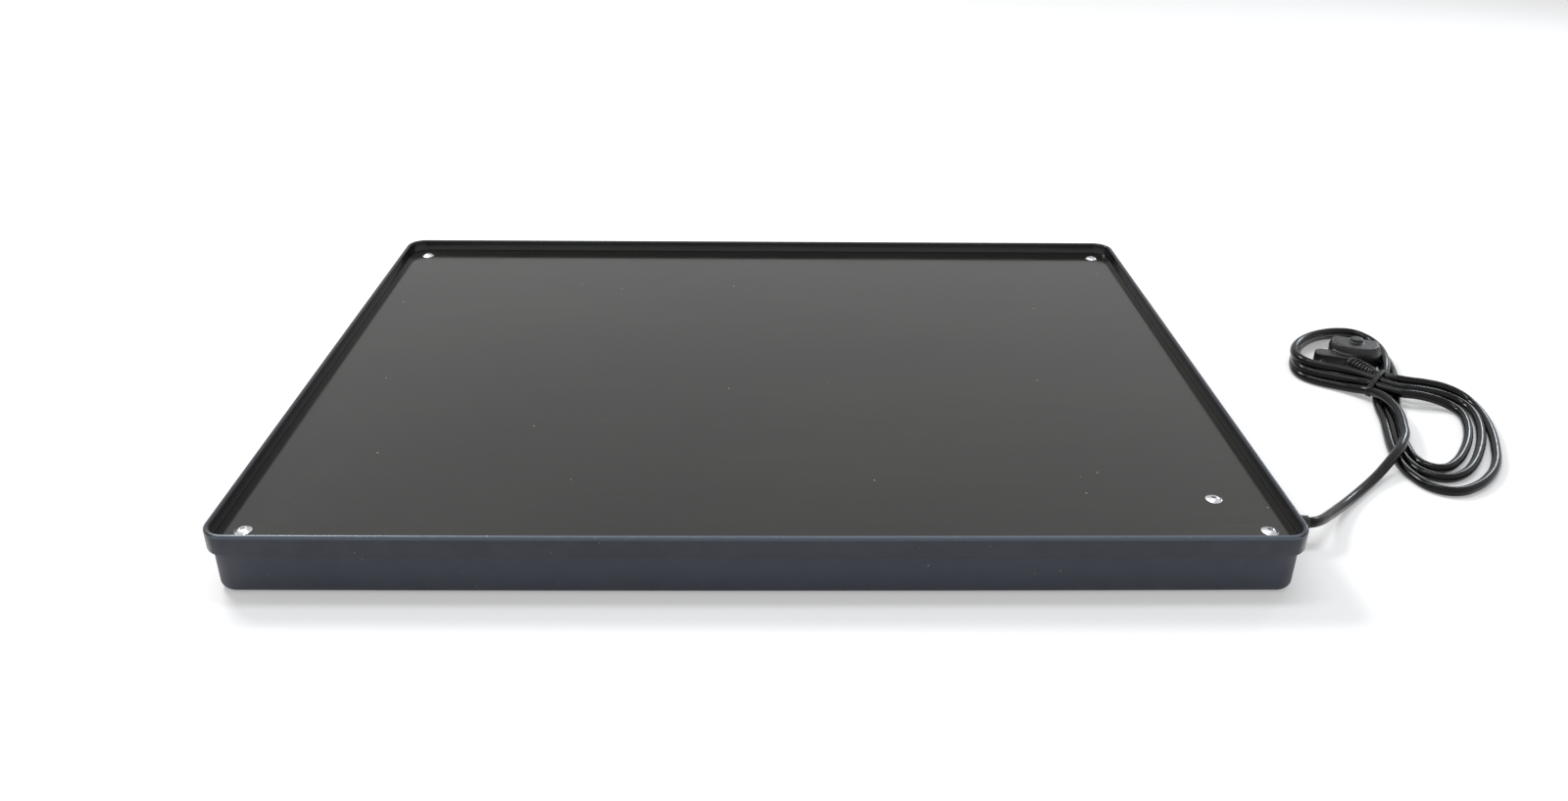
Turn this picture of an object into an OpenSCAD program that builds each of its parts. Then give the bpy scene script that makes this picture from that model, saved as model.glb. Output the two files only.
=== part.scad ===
// Heated propagation tray: a moulded tray with a stepped rim, a metal heating plate
// riveted into it, and a mains cord tied up in a figure of eight.
// X is the width, Y runs from the front edge to the rear edge, Z is up.
// The origin is at the middle of the tray's underside.

/* [Tray] */
// Overall width of the rim
tray_w = 600; // [450:5:750]
// Overall depth of the rim, front to rear
tray_d = 460; // [340:5:600]
// Overall height
tray_h = 39; // [35:0.5:60]
// Thickness of the walls and the floor
wall = 3; // [2.5:0.1:3.6]
// How far the band stands out from the lower wall
band_step = 3; // [2:0.1:4]
// Radius of the rim's corners, seen from above
corner_r = 14; // [12:1:24]
// Radius of the edge where the walls meet the underside
bottom_r = 5; // [3:0.5:6]

/* [Heating plate] */
// Thickness of the metal plate
plate_t = 1.5; // [1:0.1:2]
// Depth of the plate's face below the top of the rim
plate_drop = 8; // [5:0.5:11]
// Gap between the plate's edge and the rim
plate_gap = 0.4; // [0.2:0.1:1]
// Thickness of the sealing strip under the plate's edge
gasket_t = 0.5; // [0.3:0.1:1]

/* [Rivets] */
// Diameter of the rivet shanks
rivet_d = 4.8; // [4:0.1:5]
// Diameter of the rivet heads
rivet_head_d = 9.5; // [8:0.1:11]
// Height of the rivet heads
rivet_head_h = 1.9; // [1.4:0.1:2.4]
// Distance of the corner rivets from the rim's outer faces
rivet_inset = 18; // [16.5:0.5:24]
// Distance of the earth rivet from the right face of the rim
earth_inset_x = 38.5; // [34:0.5:60]
// Distance of the earth rivet from the front face of the rim
earth_inset_y = 51.5; // [45:0.5:70]
// Diameter of the hollow posts under the corner rivets
post_d = 16; // [14:0.5:18]

/* [Heater] */
// Diameter of the heating cable
heater_d = 2.6; // [2:0.1:3.4]
// Spacing of the heating cable's runs
heater_pitch = 35; // [28:1:42]
// Number of runs
heater_runs = 12; // [8:2:12]
// Thickness of the foil that holds the cable to the plate
foil_t = 0.2; // [0.1:0.1:0.5]
// Thickness of the insulation board
board_t = 19; // [8:1:20]

/* [Cord and plug] */
// Diameter of the mains cord
cord_d = 6.4; // [5.6:0.1:7]
// Height of the cord's outlet above the underside
outlet_z = 15; // [13:0.5:16]
// Distance of the cord's outlet from the front face of the rim
outlet_y = 52; // [50:1:54]
// Length of the tapered cord sleeve outside the wall
sleeve_len = 20; // [16:1:24]
// Diameter of the plug's round face
plug_d = 37; // [34:0.5:37.5]
// Length of the plug's pins
pin_len = 19; // [16:0.5:19]
// Diameter of the plug's pins
pin_d = 4.8; // [4:0.1:4.8]
// Spacing of the plug's pins
pin_pitch = 19; // [17:0.5:19]

/* [Hidden] */

$fn = 48;
fit = 0.2;                                // clearance of a loose fit
snug = 0.05;                              // clearance of a close fit
cut = 1;                                  // how far a cutting tool runs past a face

// heights
plate_z = tray_h - plate_drop - plate_t;  // underside of the plate
ledge_z = plate_z - gasket_t;             // top of the ledge inside the rim
band_z = ledge_z - wall;                  // underside of the rim's outer band
heater_z = plate_z - heater_d / 2 - snug;
foil_z = heater_z - heater_d / 2 - snug - foil_t;
lower_in = band_step + wall;              // rim face to the inside of the lower wall

// places
half_w = tray_w / 2;
half_d = tray_d / 2;
outlet = [half_w - band_step, -half_d + outlet_y, outlet_z];
earth = [half_w - earth_inset_x, -half_d + earth_inset_y];
corners = [for (sx = [-1, 1], sy = [-1, 1]) [sx * (half_w - rivet_inset), sy * (half_d - rivet_inset)]];

// terminal bay, in the front right corner
bay_w = 128;                              // bay width, from the right wall
bay_d = 118;                              // bay depth, from the front wall
bay_x = half_w - lower_in - bay_w;        // left edge of the bay
bay_y = -half_d + lower_in + bay_d;       // rear edge of the bay

// ---------------------------------------------------------------- shared shapes

function unit(v) = v / norm(v);
function arc(c, r, a0, a1, n = 6) =
    [for (i = [0 : n]) c + r * [cos(a0 + (a1 - a0) * i / n), sin(a0 + (a1 - a0) * i / n)]];

// one point of a smooth curve through p1 and p2
function on_curve(p0, p1, p2, p3, t) =
    0.5 * (2 * p1 + (p2 - p0) * t + (2 * p0 - 5 * p1 + 4 * p2 - p3) * t * t
           + (3 * p1 - p0 - 3 * p2 + p3) * t * t * t);
function smooth(p, n) = concat(
    [for (i = [0 : len(p) - 2]) for (j = [0 : n - 1])
        on_curve(p[max(i - 1, 0)], p[i], p[i + 1], p[min(i + 2, len(p) - 1)], j / n)],
    [p[len(p) - 1]]);
function heading(p, i) = unit(p[min(i + 1, len(p) - 1)] - p[max(i - 1, 0)]);

// a round tube along a route; its end faces stand square to the route's end stretches
module tube(route, d, sides = 8, steps = 3) {
    path = smooth(route, steps);
    last = len(path) - 1;
    dirs = [for (i = [0 : last]) i == 0 ? unit(route[1] - route[0])
        : i == last ? unit(route[len(route) - 1] - route[len(route) - 2]) : heading(path, i)];
    rings = [for (i = [0 : last])
        let (side = unit(cross(dirs[i], [0.13, 0.07, 1])), up = cross(side, dirs[i]))
        for (k = [0 : sides - 1]) let (a = 360 * (k + 0.5) / sides)
            path[i] + d / 2 * (cos(a) * side + sin(a) * up)];
    walls = [for (i = [0 : last - 1]) for (k = [0 : sides - 1]) let (n = (k + 1) % sides)
        [i * sides + k, i * sides + n, (i + 1) * sides + n, (i + 1) * sides + k]];
    caps = [[for (k = [sides - 1 : -1 : 0]) k], [for (k = [0 : sides - 1]) last * sides + k]];
    polyhedron(points = rings, faces = concat(walls, caps), convexity = 6);
}

// a rectangle with rounded corners, seen from above
module rounded(w, d, r) {
    square([w - 2 * r, d], center = true);
    square([w, d - 2 * r], center = true);
    for (sx = [-1, 1], sy = [-1, 1]) translate([sx * (w / 2 - r), sy * (d / 2 - r)]) circle(r);
}

// a shape on the tray's plan, moved in from the rim by inset
module plan(inset) {
    rounded(tray_w - 2 * inset, tray_d - 2 * inset, max(corner_r - inset, 1));
}

// an upright slab on the plan
module slab(inset, z, h) {
    translate([0, 0, z]) linear_extrude(h) plan(inset);
}

// a profile drawn as distance in from the rim and height, carried round the tray
module around() {
    long = tray_w - 2 * corner_r;
    deep = tray_d - 2 * corner_r;
    for (s = [0, 1]) rotate([0, 0, 180 * s]) {
        translate([-half_w + corner_r, -half_d, 0]) rotate([90, 0, 90]) linear_extrude(long) children();
        translate([half_w, -half_d + corner_r, 0]) rotate([90, 0, 180]) linear_extrude(deep) children();
        translate([half_w - corner_r, -half_d + corner_r, 0]) rotate([0, 0, -90])
            rotate_extrude(angle = 90) translate([corner_r, 0]) mirror([1, 0]) children();
        translate([-half_w + corner_r, -half_d + corner_r, 0]) rotate([0, 0, 180])
            rotate_extrude(angle = 90) translate([corner_r, 0]) mirror([1, 0]) children();
    }
}

// ---------------------------------------------------------------- tray

rim_r = wall / 2 - 0.1;                   // rounding of the rim's top
band_r = 1.2;                             // rounding of the band's lower edge
nook_r = 0.6;                             // fillet where the band meets the lower wall
floor_r = 2.5;                            // inside rounding at the floor

module wall_profile() {
    polygon(concat(
        arc([rim_r, tray_h - rim_r], rim_r, 180, 90),
        arc([wall - rim_r, tray_h - rim_r], rim_r, 90, 0),
        [[wall, ledge_z], [lower_in, ledge_z]],
        arc([lower_in + floor_r, wall + floor_r], floor_r, 180, 270),
        [[corner_r, wall], [corner_r, 0]],
        arc([band_step + bottom_r, bottom_r], bottom_r, 270, 180),
        arc([band_step - nook_r, band_z - nook_r], nook_r, 0, 90, 4),
        arc([band_r, band_z + band_r], band_r, 270, 180)));
}

clamp_x = 22;                             // clamp's middle, from the inside of the wall
clamp_l = 10;                             // clamp's length along the cord
clamp_w = 34;                             // clamp's width across the cord
clamp_pitch = 22;                         // spacing of the clamp's screws
clamp_screw_d = 3;                        // diameter of the clamp's screws
clamp = [half_w - lower_in - clamp_x, outlet[1]];

post_bore = post_d - 6;                   // bore of the rivet posts
post_pad = 4;                             // thickness of the posts' tops

module rivet_post(at) {
    translate([at[0], at[1], wall - snug]) difference() {
        cylinder(d = post_d, h = plate_z - wall + snug);
        translate([0, 0, snug]) cylinder(d = post_bore, h = plate_z - wall - post_pad);
        cylinder(d = rivet_d + fit, h = tray_h);
    }
}

module clamp_saddle() {
    difference() {
        translate([clamp[0] - clamp_l / 2, clamp[1] - clamp_w / 2, wall - snug])
            cube([clamp_l, clamp_w, outlet_z - wall - fit]);
        translate([clamp[0] - clamp_l, clamp[1], outlet_z]) rotate([0, 90, 0])
            cylinder(d = cord_d + 2 * snug, h = 2 * clamp_l);
        for (s = [-1, 1]) translate([clamp[0], clamp[1] + s * clamp_pitch / 2, wall + 1])
            cylinder(d = clamp_screw_d + 2 * snug, h = outlet_z);
    }
}

module base_tray() {
    color([0.17, 0.18, 0.2]) {
        difference() {
            union() {
                around() wall_profile();
                translate([0, 0, wall / 2])
                    cube([tray_w - 2 * corner_r, tray_d - 2 * corner_r, wall], center = true);
            }
            translate([outlet[0] - wall - cut, outlet[1], outlet_z]) rotate([0, 90, 0])
                cylinder(d = gland_neck_d + fit, h = wall + 2 * cut);
        }
        for (c = corners) rivet_post(c);
        clamp_saddle();
        translate([block[0], block[1], wall - snug]) cylinder(d = 7, h = block_z - wall + snug);
    }
}

// ---------------------------------------------------------------- heating plate

module plate_gasket() {
    color([0.12, 0.12, 0.12]) difference() {
        slab(wall + plate_gap, ledge_z, plate_z - ledge_z);
        slab(lower_in - 0.4, ledge_z - cut, tray_h);
    }
}

module heating_plate() {
    color([0.28, 0.28, 0.27]) difference() {
        slab(wall + plate_gap, plate_z, plate_t);
        for (c = concat(corners, [earth])) translate([c[0], c[1], plate_z - cut])
            cylinder(d = rivet_d + fit, h = plate_t + 2 * cut);
    }
}

// ---------------------------------------------------------------- rivets

mandrel_d = 2.6;                          // diameter of the mandrel left in a rivet
tail_d = 7.2;                             // diameter of the rivet's set tail
tail_h = 3;                               // height of the set tail
washer_t = 1;                             // thickness of the backing washers
post_grip = post_pad + plate_t + washer_t; // what a corner rivet holds together
ring_t = 0.8;                             // thickness of the earth ring
earth_grip = plate_t + ring_t + washer_t; // what the earth rivet holds together

// a blind rivet with its head's underside at z = 0 and its tail below
module rivet(grip) {
    dome_r = (rivet_head_d * rivet_head_d / 4 + rivet_head_h * rivet_head_h) / (2 * rivet_head_h);
    half = asin(rivet_head_d / 2 / dome_r);
    bore = mandrel_d / 2 + snug;
    rim_half = asin(bore / dome_r);
    rotate_extrude() polygon(concat([[bore, -grip - tail_h], [tail_d / 2 - 0.5, -grip - tail_h],
        [tail_d / 2, -grip - 1], [tail_d / 2 - 0.6, -grip], [rivet_d / 2, -grip], [rivet_d / 2, 0]],
        arc([0, rivet_head_h - dome_r], dome_r, 90 - half, 90 - rim_half, 8),
        [[bore, rivet_head_h]]));
}

// the mandrel's stub, broken off just below the top of the head
module mandrel(grip) {
    top = rivet_head_h - 0.7;
    translate([0, 0, -grip - tail_h]) cylinder(d = mandrel_d, h = grip + tail_h + top);
    translate([0, 0, -grip - tail_h - 1.6]) cylinder(d = mandrel_d + 1.6, h = 1.6);
}

module at_face(c) {
    translate([c[0], c[1], plate_z + plate_t]) children();
}

module corner_rivets() {
    color([0.85, 0.85, 0.86]) for (c = corners) at_face(c) rivet(post_grip);
}

module earth_rivet() {
    color([0.85, 0.85, 0.86]) at_face(earth) rivet(earth_grip);
}

module rivet_mandrels() {
    color([0.6, 0.6, 0.62]) {
        for (c = corners) at_face(c) mandrel(post_grip);
        at_face(earth) mandrel(earth_grip);
    }
}

module washer(c, top) {
    translate([c[0], c[1], top - washer_t]) difference() {
        cylinder(d = post_bore - fit, h = washer_t);
        translate([0, 0, -cut]) cylinder(d = rivet_d + fit, h = washer_t + 2 * cut);
    }
}

module rivet_washers() {
    color([0.7, 0.7, 0.72]) {
        for (c = corners) washer(c, plate_z - post_pad);
        washer(earth, plate_z - ring_t);
    }
}

barrel_d = 3.6;                           // outside diameter of the earth terminal's barrel
barrel_l = 7;                             // length of that barrel
barrel_x = earth[0] - 8;                  // open end nearest the ring

module earth_ring_terminal() {
    color([0.8, 0.78, 0.72]) {
        difference() {
            translate([0, 0, plate_z - ring_t]) linear_extrude(ring_t) {
                translate(earth) circle(d = 10);
                translate([barrel_x - 2, earth[1] - 2]) square([10, 4]);
            }
            translate([earth[0], earth[1], 0]) cylinder(d = rivet_d + fit, h = tray_h);
        }
        translate([barrel_x, earth[1], plate_z - ring_t - barrel_d / 2 + 0.4]) rotate([0, -90, 0])
            difference() {
                cylinder(d = barrel_d, h = barrel_l);
                translate([0, 0, 1]) cylinder(d = core_d + 2 * snug, h = barrel_l);
            }
    }
}

// ---------------------------------------------------------------- heater

heater_left = -half_w + 50;               // left ends of the runs
heater_right = half_w - 50;               // right ends of the runs behind the bay
heater_short = bay_x - 20;                // right ends of the runs beside the bay
lead_x = half_w - 25;                     // x of the return lead along the right side

function run_y(i) = (i - (heater_runs - 1) / 2) * heater_pitch;
function run_end(i) = run_y(i) < bay_y + 10 ? heater_short : heater_right;

module heater_bend(x, y, side) {
    translate([x, y, heater_z]) rotate([0, 0, side > 0 ? -90 : 90]) rotate_extrude(angle = 180)
        translate([heater_pitch / 2, 0]) circle(d = heater_d, $fn = 24);
}

module heating_cable() {
    color([0.75, 0.3, 0.25]) {
        for (i = [0 : heater_runs - 1]) {
            turn = i % 2 == 1 && i < heater_runs - 1 ? min(run_end(i), run_end(i + 1)) : run_end(i);
            back = i % 2 == 0 && i > 0 ? min(run_end(i - 1), run_end(i)) : turn;
            translate([heater_left, run_y(i), heater_z]) rotate([0, 90, 0])
                cylinder(d = heater_d, h = back - heater_left, $fn = 24);
        }
        for (i = [0 : heater_runs - 2])
            heater_bend(i % 2 == 0 ? heater_left : min(run_end(i), run_end(i + 1)),
                        run_y(i) + heater_pitch / 2, i % 2 == 0 ? -1 : 1);
    }
}

module heater_foil() {
    color([0.8, 0.81, 0.83]) translate([0, 0, foil_z]) linear_extrude(foil_t) difference() {
        square([tray_w - 50, tray_d - 44], center = true);
        translate([bay_x, -half_d]) square([tray_w, bay_y + half_d]);
        for (c = corners) translate(c) circle(d = post_d + 2);
    }
}

module insulation_board() {
    edge = lower_in + floor_r + fit;
    color([0.93, 0.9, 0.75]) translate([0, 0, wall + fit]) linear_extrude(board_t) difference() {
        square([tray_w - 2 * edge, tray_d - 2 * edge], center = true);
        translate([bay_x, -half_d]) square([tray_w, bay_y + half_d]);
        for (c = corners) translate(c) square(post_d + 14, center = true);
    }
}

// ---------------------------------------------------------------- thermal cut-out

cutout = [bay_x + 32, bay_y - 26];        // middle of the cut-out
cup_h = 3;                                // height of its metal cup
cup_d = 16;                               // diameter of the cup
cut_h = 8;                                // height of its moulded body
tab_gap = 9;                              // spacing of its tabs

module cutout_cup() {
    color([0.82, 0.82, 0.84]) translate([cutout[0], cutout[1], plate_z - snug - cup_h])
        cylinder(d = cup_d, h = cup_h);
}

module cutout_body() {
    color([0.15, 0.13, 0.12]) translate([cutout[0], cutout[1], plate_z - snug - cup_h - cut_h])
        cylinder(d = cup_d - 1.5, h = cut_h);
}

module cutout_tabs() {
    color([0.8, 0.72, 0.5]) for (s = [-1, 1])
        translate([cutout[0] + s * tab_gap / 2 - 0.4, cutout[1] - 3.15, tab_z])
            cube([0.8, 6.3, plate_z - snug - cup_h - cut_h - tab_z]);
}

tab_z = plate_z - snug - cup_h - cut_h - 7; // lower ends of the tabs

// ---------------------------------------------------------------- terminals

core_d = 2.2;                             // diameter of an insulated core
pole_pitch = 9;                           // spacing of the poles
block = [bay_x + 45, outlet[1]];          // middle of the terminal block
block_l = 18;                             // length along the cord
block_w = 28;                             // width across the cord
block_h = 13;                             // height
block_z = wall + 1;                       // underside
pole_z = block_z + 6;                     // height of the poles' bores
sleeve_d = 5;                             // diameter of the brass sleeves
poles = [for (k = [-1 : 1]) block[1] + k * pole_pitch];
screw_off = 4.5;                          // screws' distance from the block's middle
screw_head_d = 3.8;                       // diameter of the screws' heads
screw_d = 2.6;                            // diameter of the screws

module terminal_block() {
    color([0.93, 0.93, 0.9]) difference() {
        translate([block[0] - block_l / 2, block[1] - block_w / 2, block_z])
            cube([block_l, block_w, block_h]);
        for (y = poles) translate([block[0] - block_l, y, pole_z]) rotate([0, 90, 0])
            cylinder(d = sleeve_d + 2 * snug, h = 2 * block_l);
        for (y = poles, s = [-1, 1]) translate([block[0] + s * screw_off, y, pole_z])
            cylinder(d = screw_head_d + 2 * fit, h = block_h);
    }
}

module terminal_sleeves() {
    color([0.78, 0.62, 0.3]) for (y = poles) difference() {
        translate([block[0] - block_l / 2 + 1, y, pole_z]) rotate([0, 90, 0])
            cylinder(d = sleeve_d, h = block_l - 2);
        translate([block[0] - block_l, y, pole_z]) rotate([0, 90, 0])
            cylinder(d = core_d + 4 * snug, h = 2 * block_l);
        for (s = [-1, 1]) translate([block[0] + s * screw_off, y, pole_z])
            cylinder(d = screw_d + fit, h = block_h);
    }
}

module terminal_screws() {
    color([0.75, 0.75, 0.76]) for (y = poles, s = [-1, 1])
        translate([block[0] + s * screw_off, y, pole_z + core_d / 2 + 3 * snug]) {
            cylinder(d = screw_d, h = 3);
            difference() {
                translate([0, 0, 3]) cylinder(d = screw_head_d, h = 2);
                translate([-3, -0.3, 4.2]) cube([6, 0.6, 2]);
            }
        }
}

// ---------------------------------------------------------------- cord inlet

gland_neck_d = 11;                        // diameter of the gland in the wall
gland_flange_d = 15;                      // diameter of its flanges
gland_flange_t = 2.5;                     // thickness of its flanges
sleeve_tip_d = 8.4;                       // diameter of the sleeve's tip
inner_len = 44;                           // cord inside the wall
sleeve_x = outlet[0] + gland_flange_t;    // root of the sleeve
tip_x = sleeve_x + sleeve_len;            // tip of the sleeve

module cord_gland() {
    color([0.1, 0.1, 0.11]) translate([outlet[0], outlet[1], outlet_z]) rotate([0, 90, 0])
        rotate_extrude() difference() {
            union() {
                translate([0, -wall]) square([gland_neck_d / 2, wall]);
                translate([0, -wall - gland_flange_t]) square([gland_flange_d / 2, gland_flange_t]);
                square([gland_flange_d / 2, gland_flange_t]);
                translate([0, gland_flange_t])
                    polygon([[0, 0], [gland_neck_d / 2, 0], [sleeve_tip_d / 2, sleeve_len], [0, sleeve_len]]);
            }
            translate([-cut, -2 * wall - gland_flange_t])
                square([cord_d / 2 + snug + cut, 4 * wall + 3 * gland_flange_t + sleeve_len]);
        }
}

module inner_lead() {
    color([0.08, 0.08, 0.09]) translate([outlet[0] - wall - inner_len, outlet[1], outlet_z])
        rotate([0, 90, 0]) cylinder(d = cord_d, h = tip_x - outlet[0] + wall + inner_len);
}

clamp_t = 5;                              // thickness of the clamp bar

module cord_clamp() {
    color([0.2, 0.2, 0.22]) difference() {
        translate([clamp[0] - clamp_l / 2, clamp[1] - clamp_w / 2, outlet_z + fit])
            cube([clamp_l, clamp_w, clamp_t]);
        translate([clamp[0] - clamp_l, clamp[1], outlet_z]) rotate([0, 90, 0])
            cylinder(d = cord_d + 2 * snug, h = 2 * clamp_l);
        for (s = [-1, 1]) translate([clamp[0], clamp[1] + s * clamp_pitch / 2, outlet_z])
            cylinder(d = clamp_screw_d + fit, h = 2 * clamp_t);
    }
}

module clamp_screws() {
    color([0.75, 0.75, 0.76]) for (s = [-1, 1])
        translate([clamp[0], clamp[1] + s * clamp_pitch / 2, wall + 1.5]) {
            cylinder(d = clamp_screw_d, h = outlet_z + fit + clamp_t - wall - 1.5);
            translate([0, 0, outlet_z + fit + clamp_t - wall - 1.5]) difference() {
                cylinder(d = 6, h = 2);
                translate([-4, -0.4, 1]) cube([8, 0.8, 2]);
            }
        }
}

// ---------------------------------------------------------------- wiring in the bay

split_x = outlet[0] - wall - inner_len - snug;       // where the sheath ends
in_x = block[0] + block_l / 2 - 4;                   // ends of the cores in the sleeves
out_x = block[0] - block_l / 2 + 4;
core_y = [for (k = [-1 : 1]) outlet[1] + k * 1.2];
tab_end = tab_z + 3;

// the middle lines of the loose wires, each from one end to the other
module wire(points) {
    tube(points, core_d);
}

module core_neutral() {
    color([0.15, 0.3, 0.7]) wire([
        [split_x, core_y[0], outlet_z], [split_x - 3, core_y[0], outlet_z],
        [split_x - 8, core_y[0] - 2, outlet_z], [in_x + 14, poles[0] + 2, pole_z + 2],
        [in_x + 7, poles[0], pole_z], [in_x, poles[0], pole_z]]);
}

module core_live() {
    color([0.45, 0.28, 0.15]) wire([
        [split_x, core_y[2], outlet_z + 1.4], [split_x - 3, core_y[2], outlet_z + 1.4],
        [split_x - 8, core_y[2] + 2, outlet_z + 1], [in_x + 14, poles[2] - 2, pole_z + 2],
        [in_x + 7, poles[2], pole_z], [in_x, poles[2], pole_z]]);
}

module core_earth() {
    y = core_y[1] - 0.2;
    end_x = barrel_x - 1.2;
    end_z = plate_z - ring_t - barrel_d / 2 + 0.4;
    color([0.5, 0.6, 0.2]) wire([
        [split_x, y, outlet_z - 1.9], [split_x - 3, y, outlet_z - 1.9],
        [split_x - 8, y, outlet_z - 2], [split_x - 15, y, outlet_z + 1.5],
        [split_x - 17, y, outlet_z + 6], [end_x - 15, earth[1], end_z - 2],
        [end_x - 10, earth[1], end_z], [end_x - 7, earth[1], end_z], [end_x, earth[1], end_z]]);
}

module cutout_lead() {
    x = cutout[0] + tab_gap / 2 + 0.4 + core_d / 2 + fit;
    color([0.45, 0.28, 0.15]) wire([
        [out_x, poles[2], pole_z], [out_x - 5, poles[2], pole_z], [out_x - 8, poles[2], pole_z],
        [out_x - 13, poles[2] + 6, pole_z], [x + 2, cutout[1] - 14, pole_z + 1],
        [x, cutout[1] - 6, tab_end], [x, cutout[1] + 2, tab_end]]);
}

module heater_lead_live() {
    x = cutout[0] - tab_gap / 2 - 0.4 - core_d / 2 - fit;
    y = run_y(0);
    color([0.75, 0.75, 0.72]) wire([
        [x, cutout[1] + 2, tab_end], [x, cutout[1] - 2, tab_end], [x, cutout[1] - 6, tab_end],
        [x - 6, cutout[1] - 22, tab_end + 2], [bay_x + 14, y + 16, heater_z - 6],
        [bay_x + 9, y + 3, heater_z - 2], [bay_x + 3, y, heater_z],
        [run_end(0) + 10, y, heater_z], [run_end(0), y, heater_z]]);
}

module heater_lead_neutral() {
    x = run_end(heater_runs - 1);
    y = run_y(heater_runs - 1);
    color([0.75, 0.75, 0.72]) wire([
        [x, y, heater_z], [x + 8, y, heater_z], [x + 21, y - 5, heater_z],
        [lead_x, y - 24, heater_z], [lead_x, 0, heater_z], [lead_x, bay_y + 4, heater_z],
        [lead_x, bay_y - 2, heater_z], [lead_x - 2, bay_y - 10, heater_z - 1.5],
        [lead_x - 14, bay_y - 26, heater_z - 6], [block[0] + 20, bay_y - 34, heater_z - 9],
        [block[0] - 4, bay_y - 44, pole_z + 13], [out_x - 14, block[1] + 8, pole_z + 9],
        [out_x - 17, poles[0] + 3, pole_z + 2], [out_x - 9, poles[0], pole_z],
        [out_x - 5, poles[0], pole_z], [out_x, poles[0], pole_z]]);
}

// ---------------------------------------------------------------- cord, hank and tie

// the free cord, from the sleeve's tip to the hank; the first point is the tip
cord_route = [[tip_x, outlet[1], outlet_z], [tip_x + 4, outlet[1], outlet_z],
    [330.5, -172.5, 13.2], [339.5, -161.5, 9.2], [350, -150, 6], [360, -139.5, 4], [369, -130, 3.3],
    [377, -122, 3.3], [385.5, -114, 3.5], [393.5, -106, 4.8], [400, -99.5, 7.4], [405, -94.5, 9.2],
    [408.5, -91, 9.2]];

module power_cord() {
    color([0.08, 0.08, 0.09]) tube(cord_route, cord_d, sides = 12, steps = 3);
}

// the hank seen from above: its outline and the two openings of its loops
hank_outline = [[432, 10], [416, 22], [405, 31], [399, 43], [399, 56], [403, 70], [409, 83], [418, 96],
    [430, 108], [443, 116], [457, 120], [468, 118], [478, 110], [484, 98], [485, 80], [481, 57],
    [476, 38], [470, 22], [492, 17], [506, 12], [514, 1], [515, -18], [510, -40], [500, -66],
    [486, -91], [468, -111], [451, -123], [436, -127], [422, -119], [414, -95], [415, -73],
    [422, -43], [432, -12], [440, 7]];
upper_opening = [[436, 36], [426, 42], [417, 48], [413, 56], [414, 66], [419, 79], [429, 88], [443, 95],
    [458, 98], [469, 95], [475, 87], [476, 72], [472, 55], [465, 43], [458, 36], [447, 32]];
lower_opening = [[462, -4], [454, -14], [447, -32], [441, -51], [437, -68], [437, -82], [443, -90], [452, -90],
    [461, -81], [470, -67], [479, -48], [487, -28], [490, -13], [483, -5], [472, -4]];
loop_h = 13;                              // height of the loops
neck = [445.5, 15.5, 2];                     // foot of the bundle's neck, inside the tie
neck_a = 138;                             // direction of the bundle in the tie
neck_w = 29;                              // width of the neck
neck_h = 13.5;                            // height of the neck
tie_w = 3.2;                              // width of the tie
tie_t = 1.4;                              // thickness of the tie

// a smooth closed outline through hand-placed points
function closed(p, n) = [for (i = [0 : len(p) - 1]) for (j = [0 : n - 1])
    let (m = len(p)) on_curve(p[(i + m - 1) % m], p[i], p[(i + 1) % m], p[(i + 2) % m], j / n)];

module at_neck() {
    translate(neck) rotate([0, 0, neck_a]) children();
}

module cord_hank() {
    in = cord_route[len(cord_route) - 1];
    way = in - cord_route[len(cord_route) - 2];
    color([0.07, 0.07, 0.08]) difference() {
        union() {
            linear_extrude(loop_h) difference() {
                polygon(closed(hank_outline, 3));
                polygon(closed(upper_opening, 3));
                polygon(closed(lower_opening, 3));
            }
            at_neck() translate([-16, -neck_w / 2, 0]) cube([22, neck_w, neck_h]);
            translate([in[0], in[1], 0]) rotate([0, 0, atan2(way[1], way[0])])
                translate([0, -cord_d / 2, in[2] - cord_d / 2]) cube([14, cord_d, cord_d]);
        }
        at_neck() difference() {
            translate([0, 0, neck_h / 2]) cube([tie_w + fit, neck_w + 5, 3 * neck_h], center = true);
            translate([-cut - tie_w, -neck_w / 2, 0]) cube([2 * cut + 2 * tie_w, neck_w, neck_h]);
        }
        at_boot() translate([-boot_d, -boot_d, -cut]) cube([2 * boot_d, 2 * boot_d, boot_len + cut]);
    }
}

module cord_tie() {
    gap = snug;
    color([0.05, 0.05, 0.06]) at_neck() difference() {
        translate([-tie_w / 2, -neck_w / 2 - gap - tie_t, -gap - tie_t])
            cube([tie_w, neck_w + 2 * (gap + tie_t), neck_h + 2 * (gap + tie_t)]);
        translate([-tie_w, -neck_w / 2 - gap, -gap]) cube([2 * tie_w, neck_w + 2 * gap, neck_h + 2 * gap]);
    }
}

// ---------------------------------------------------------------- plug

plug_h = 20;                              // height of the plug over its flat sides
plug_at = [454, 73, plug_h / 2];          // middle of the plug's face
plug_turn = -20;                          // turn of the plug on the surface
face_t = 12;                              // thickness of the round part
back_d = 30;                              // diameter of the shoulder behind it
back_t = 4;                               // thickness of the shoulder
stud_d = 9;                               // diameter of the stud on the round part
stud_h = 3;                               // height of the stud
grip_back = 27;                           // rear of the grip, behind the face
grip_t = 12;                              // thickness of the grip
grip_h = 17;                              // height of the grip
grip_left = -23;                          // middle of the grip's round end
grip_right = -1;                          // end of the grip at the cord
grip_hole_d = 5;                          // diameter of the hole in the grip
notch_w = 7;                              // width of the notches for the earth strips
strip_t = 1;                              // thickness of the earth strips
boot_at = [443, 53, 9];                   // where the boot leaves the grip
boot_turn = -65;                          // direction of the boot, towards the tie
boot_d = 9.8;                             // diameter of the boot's root
boot_len = 22;                            // length of the boot
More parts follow.
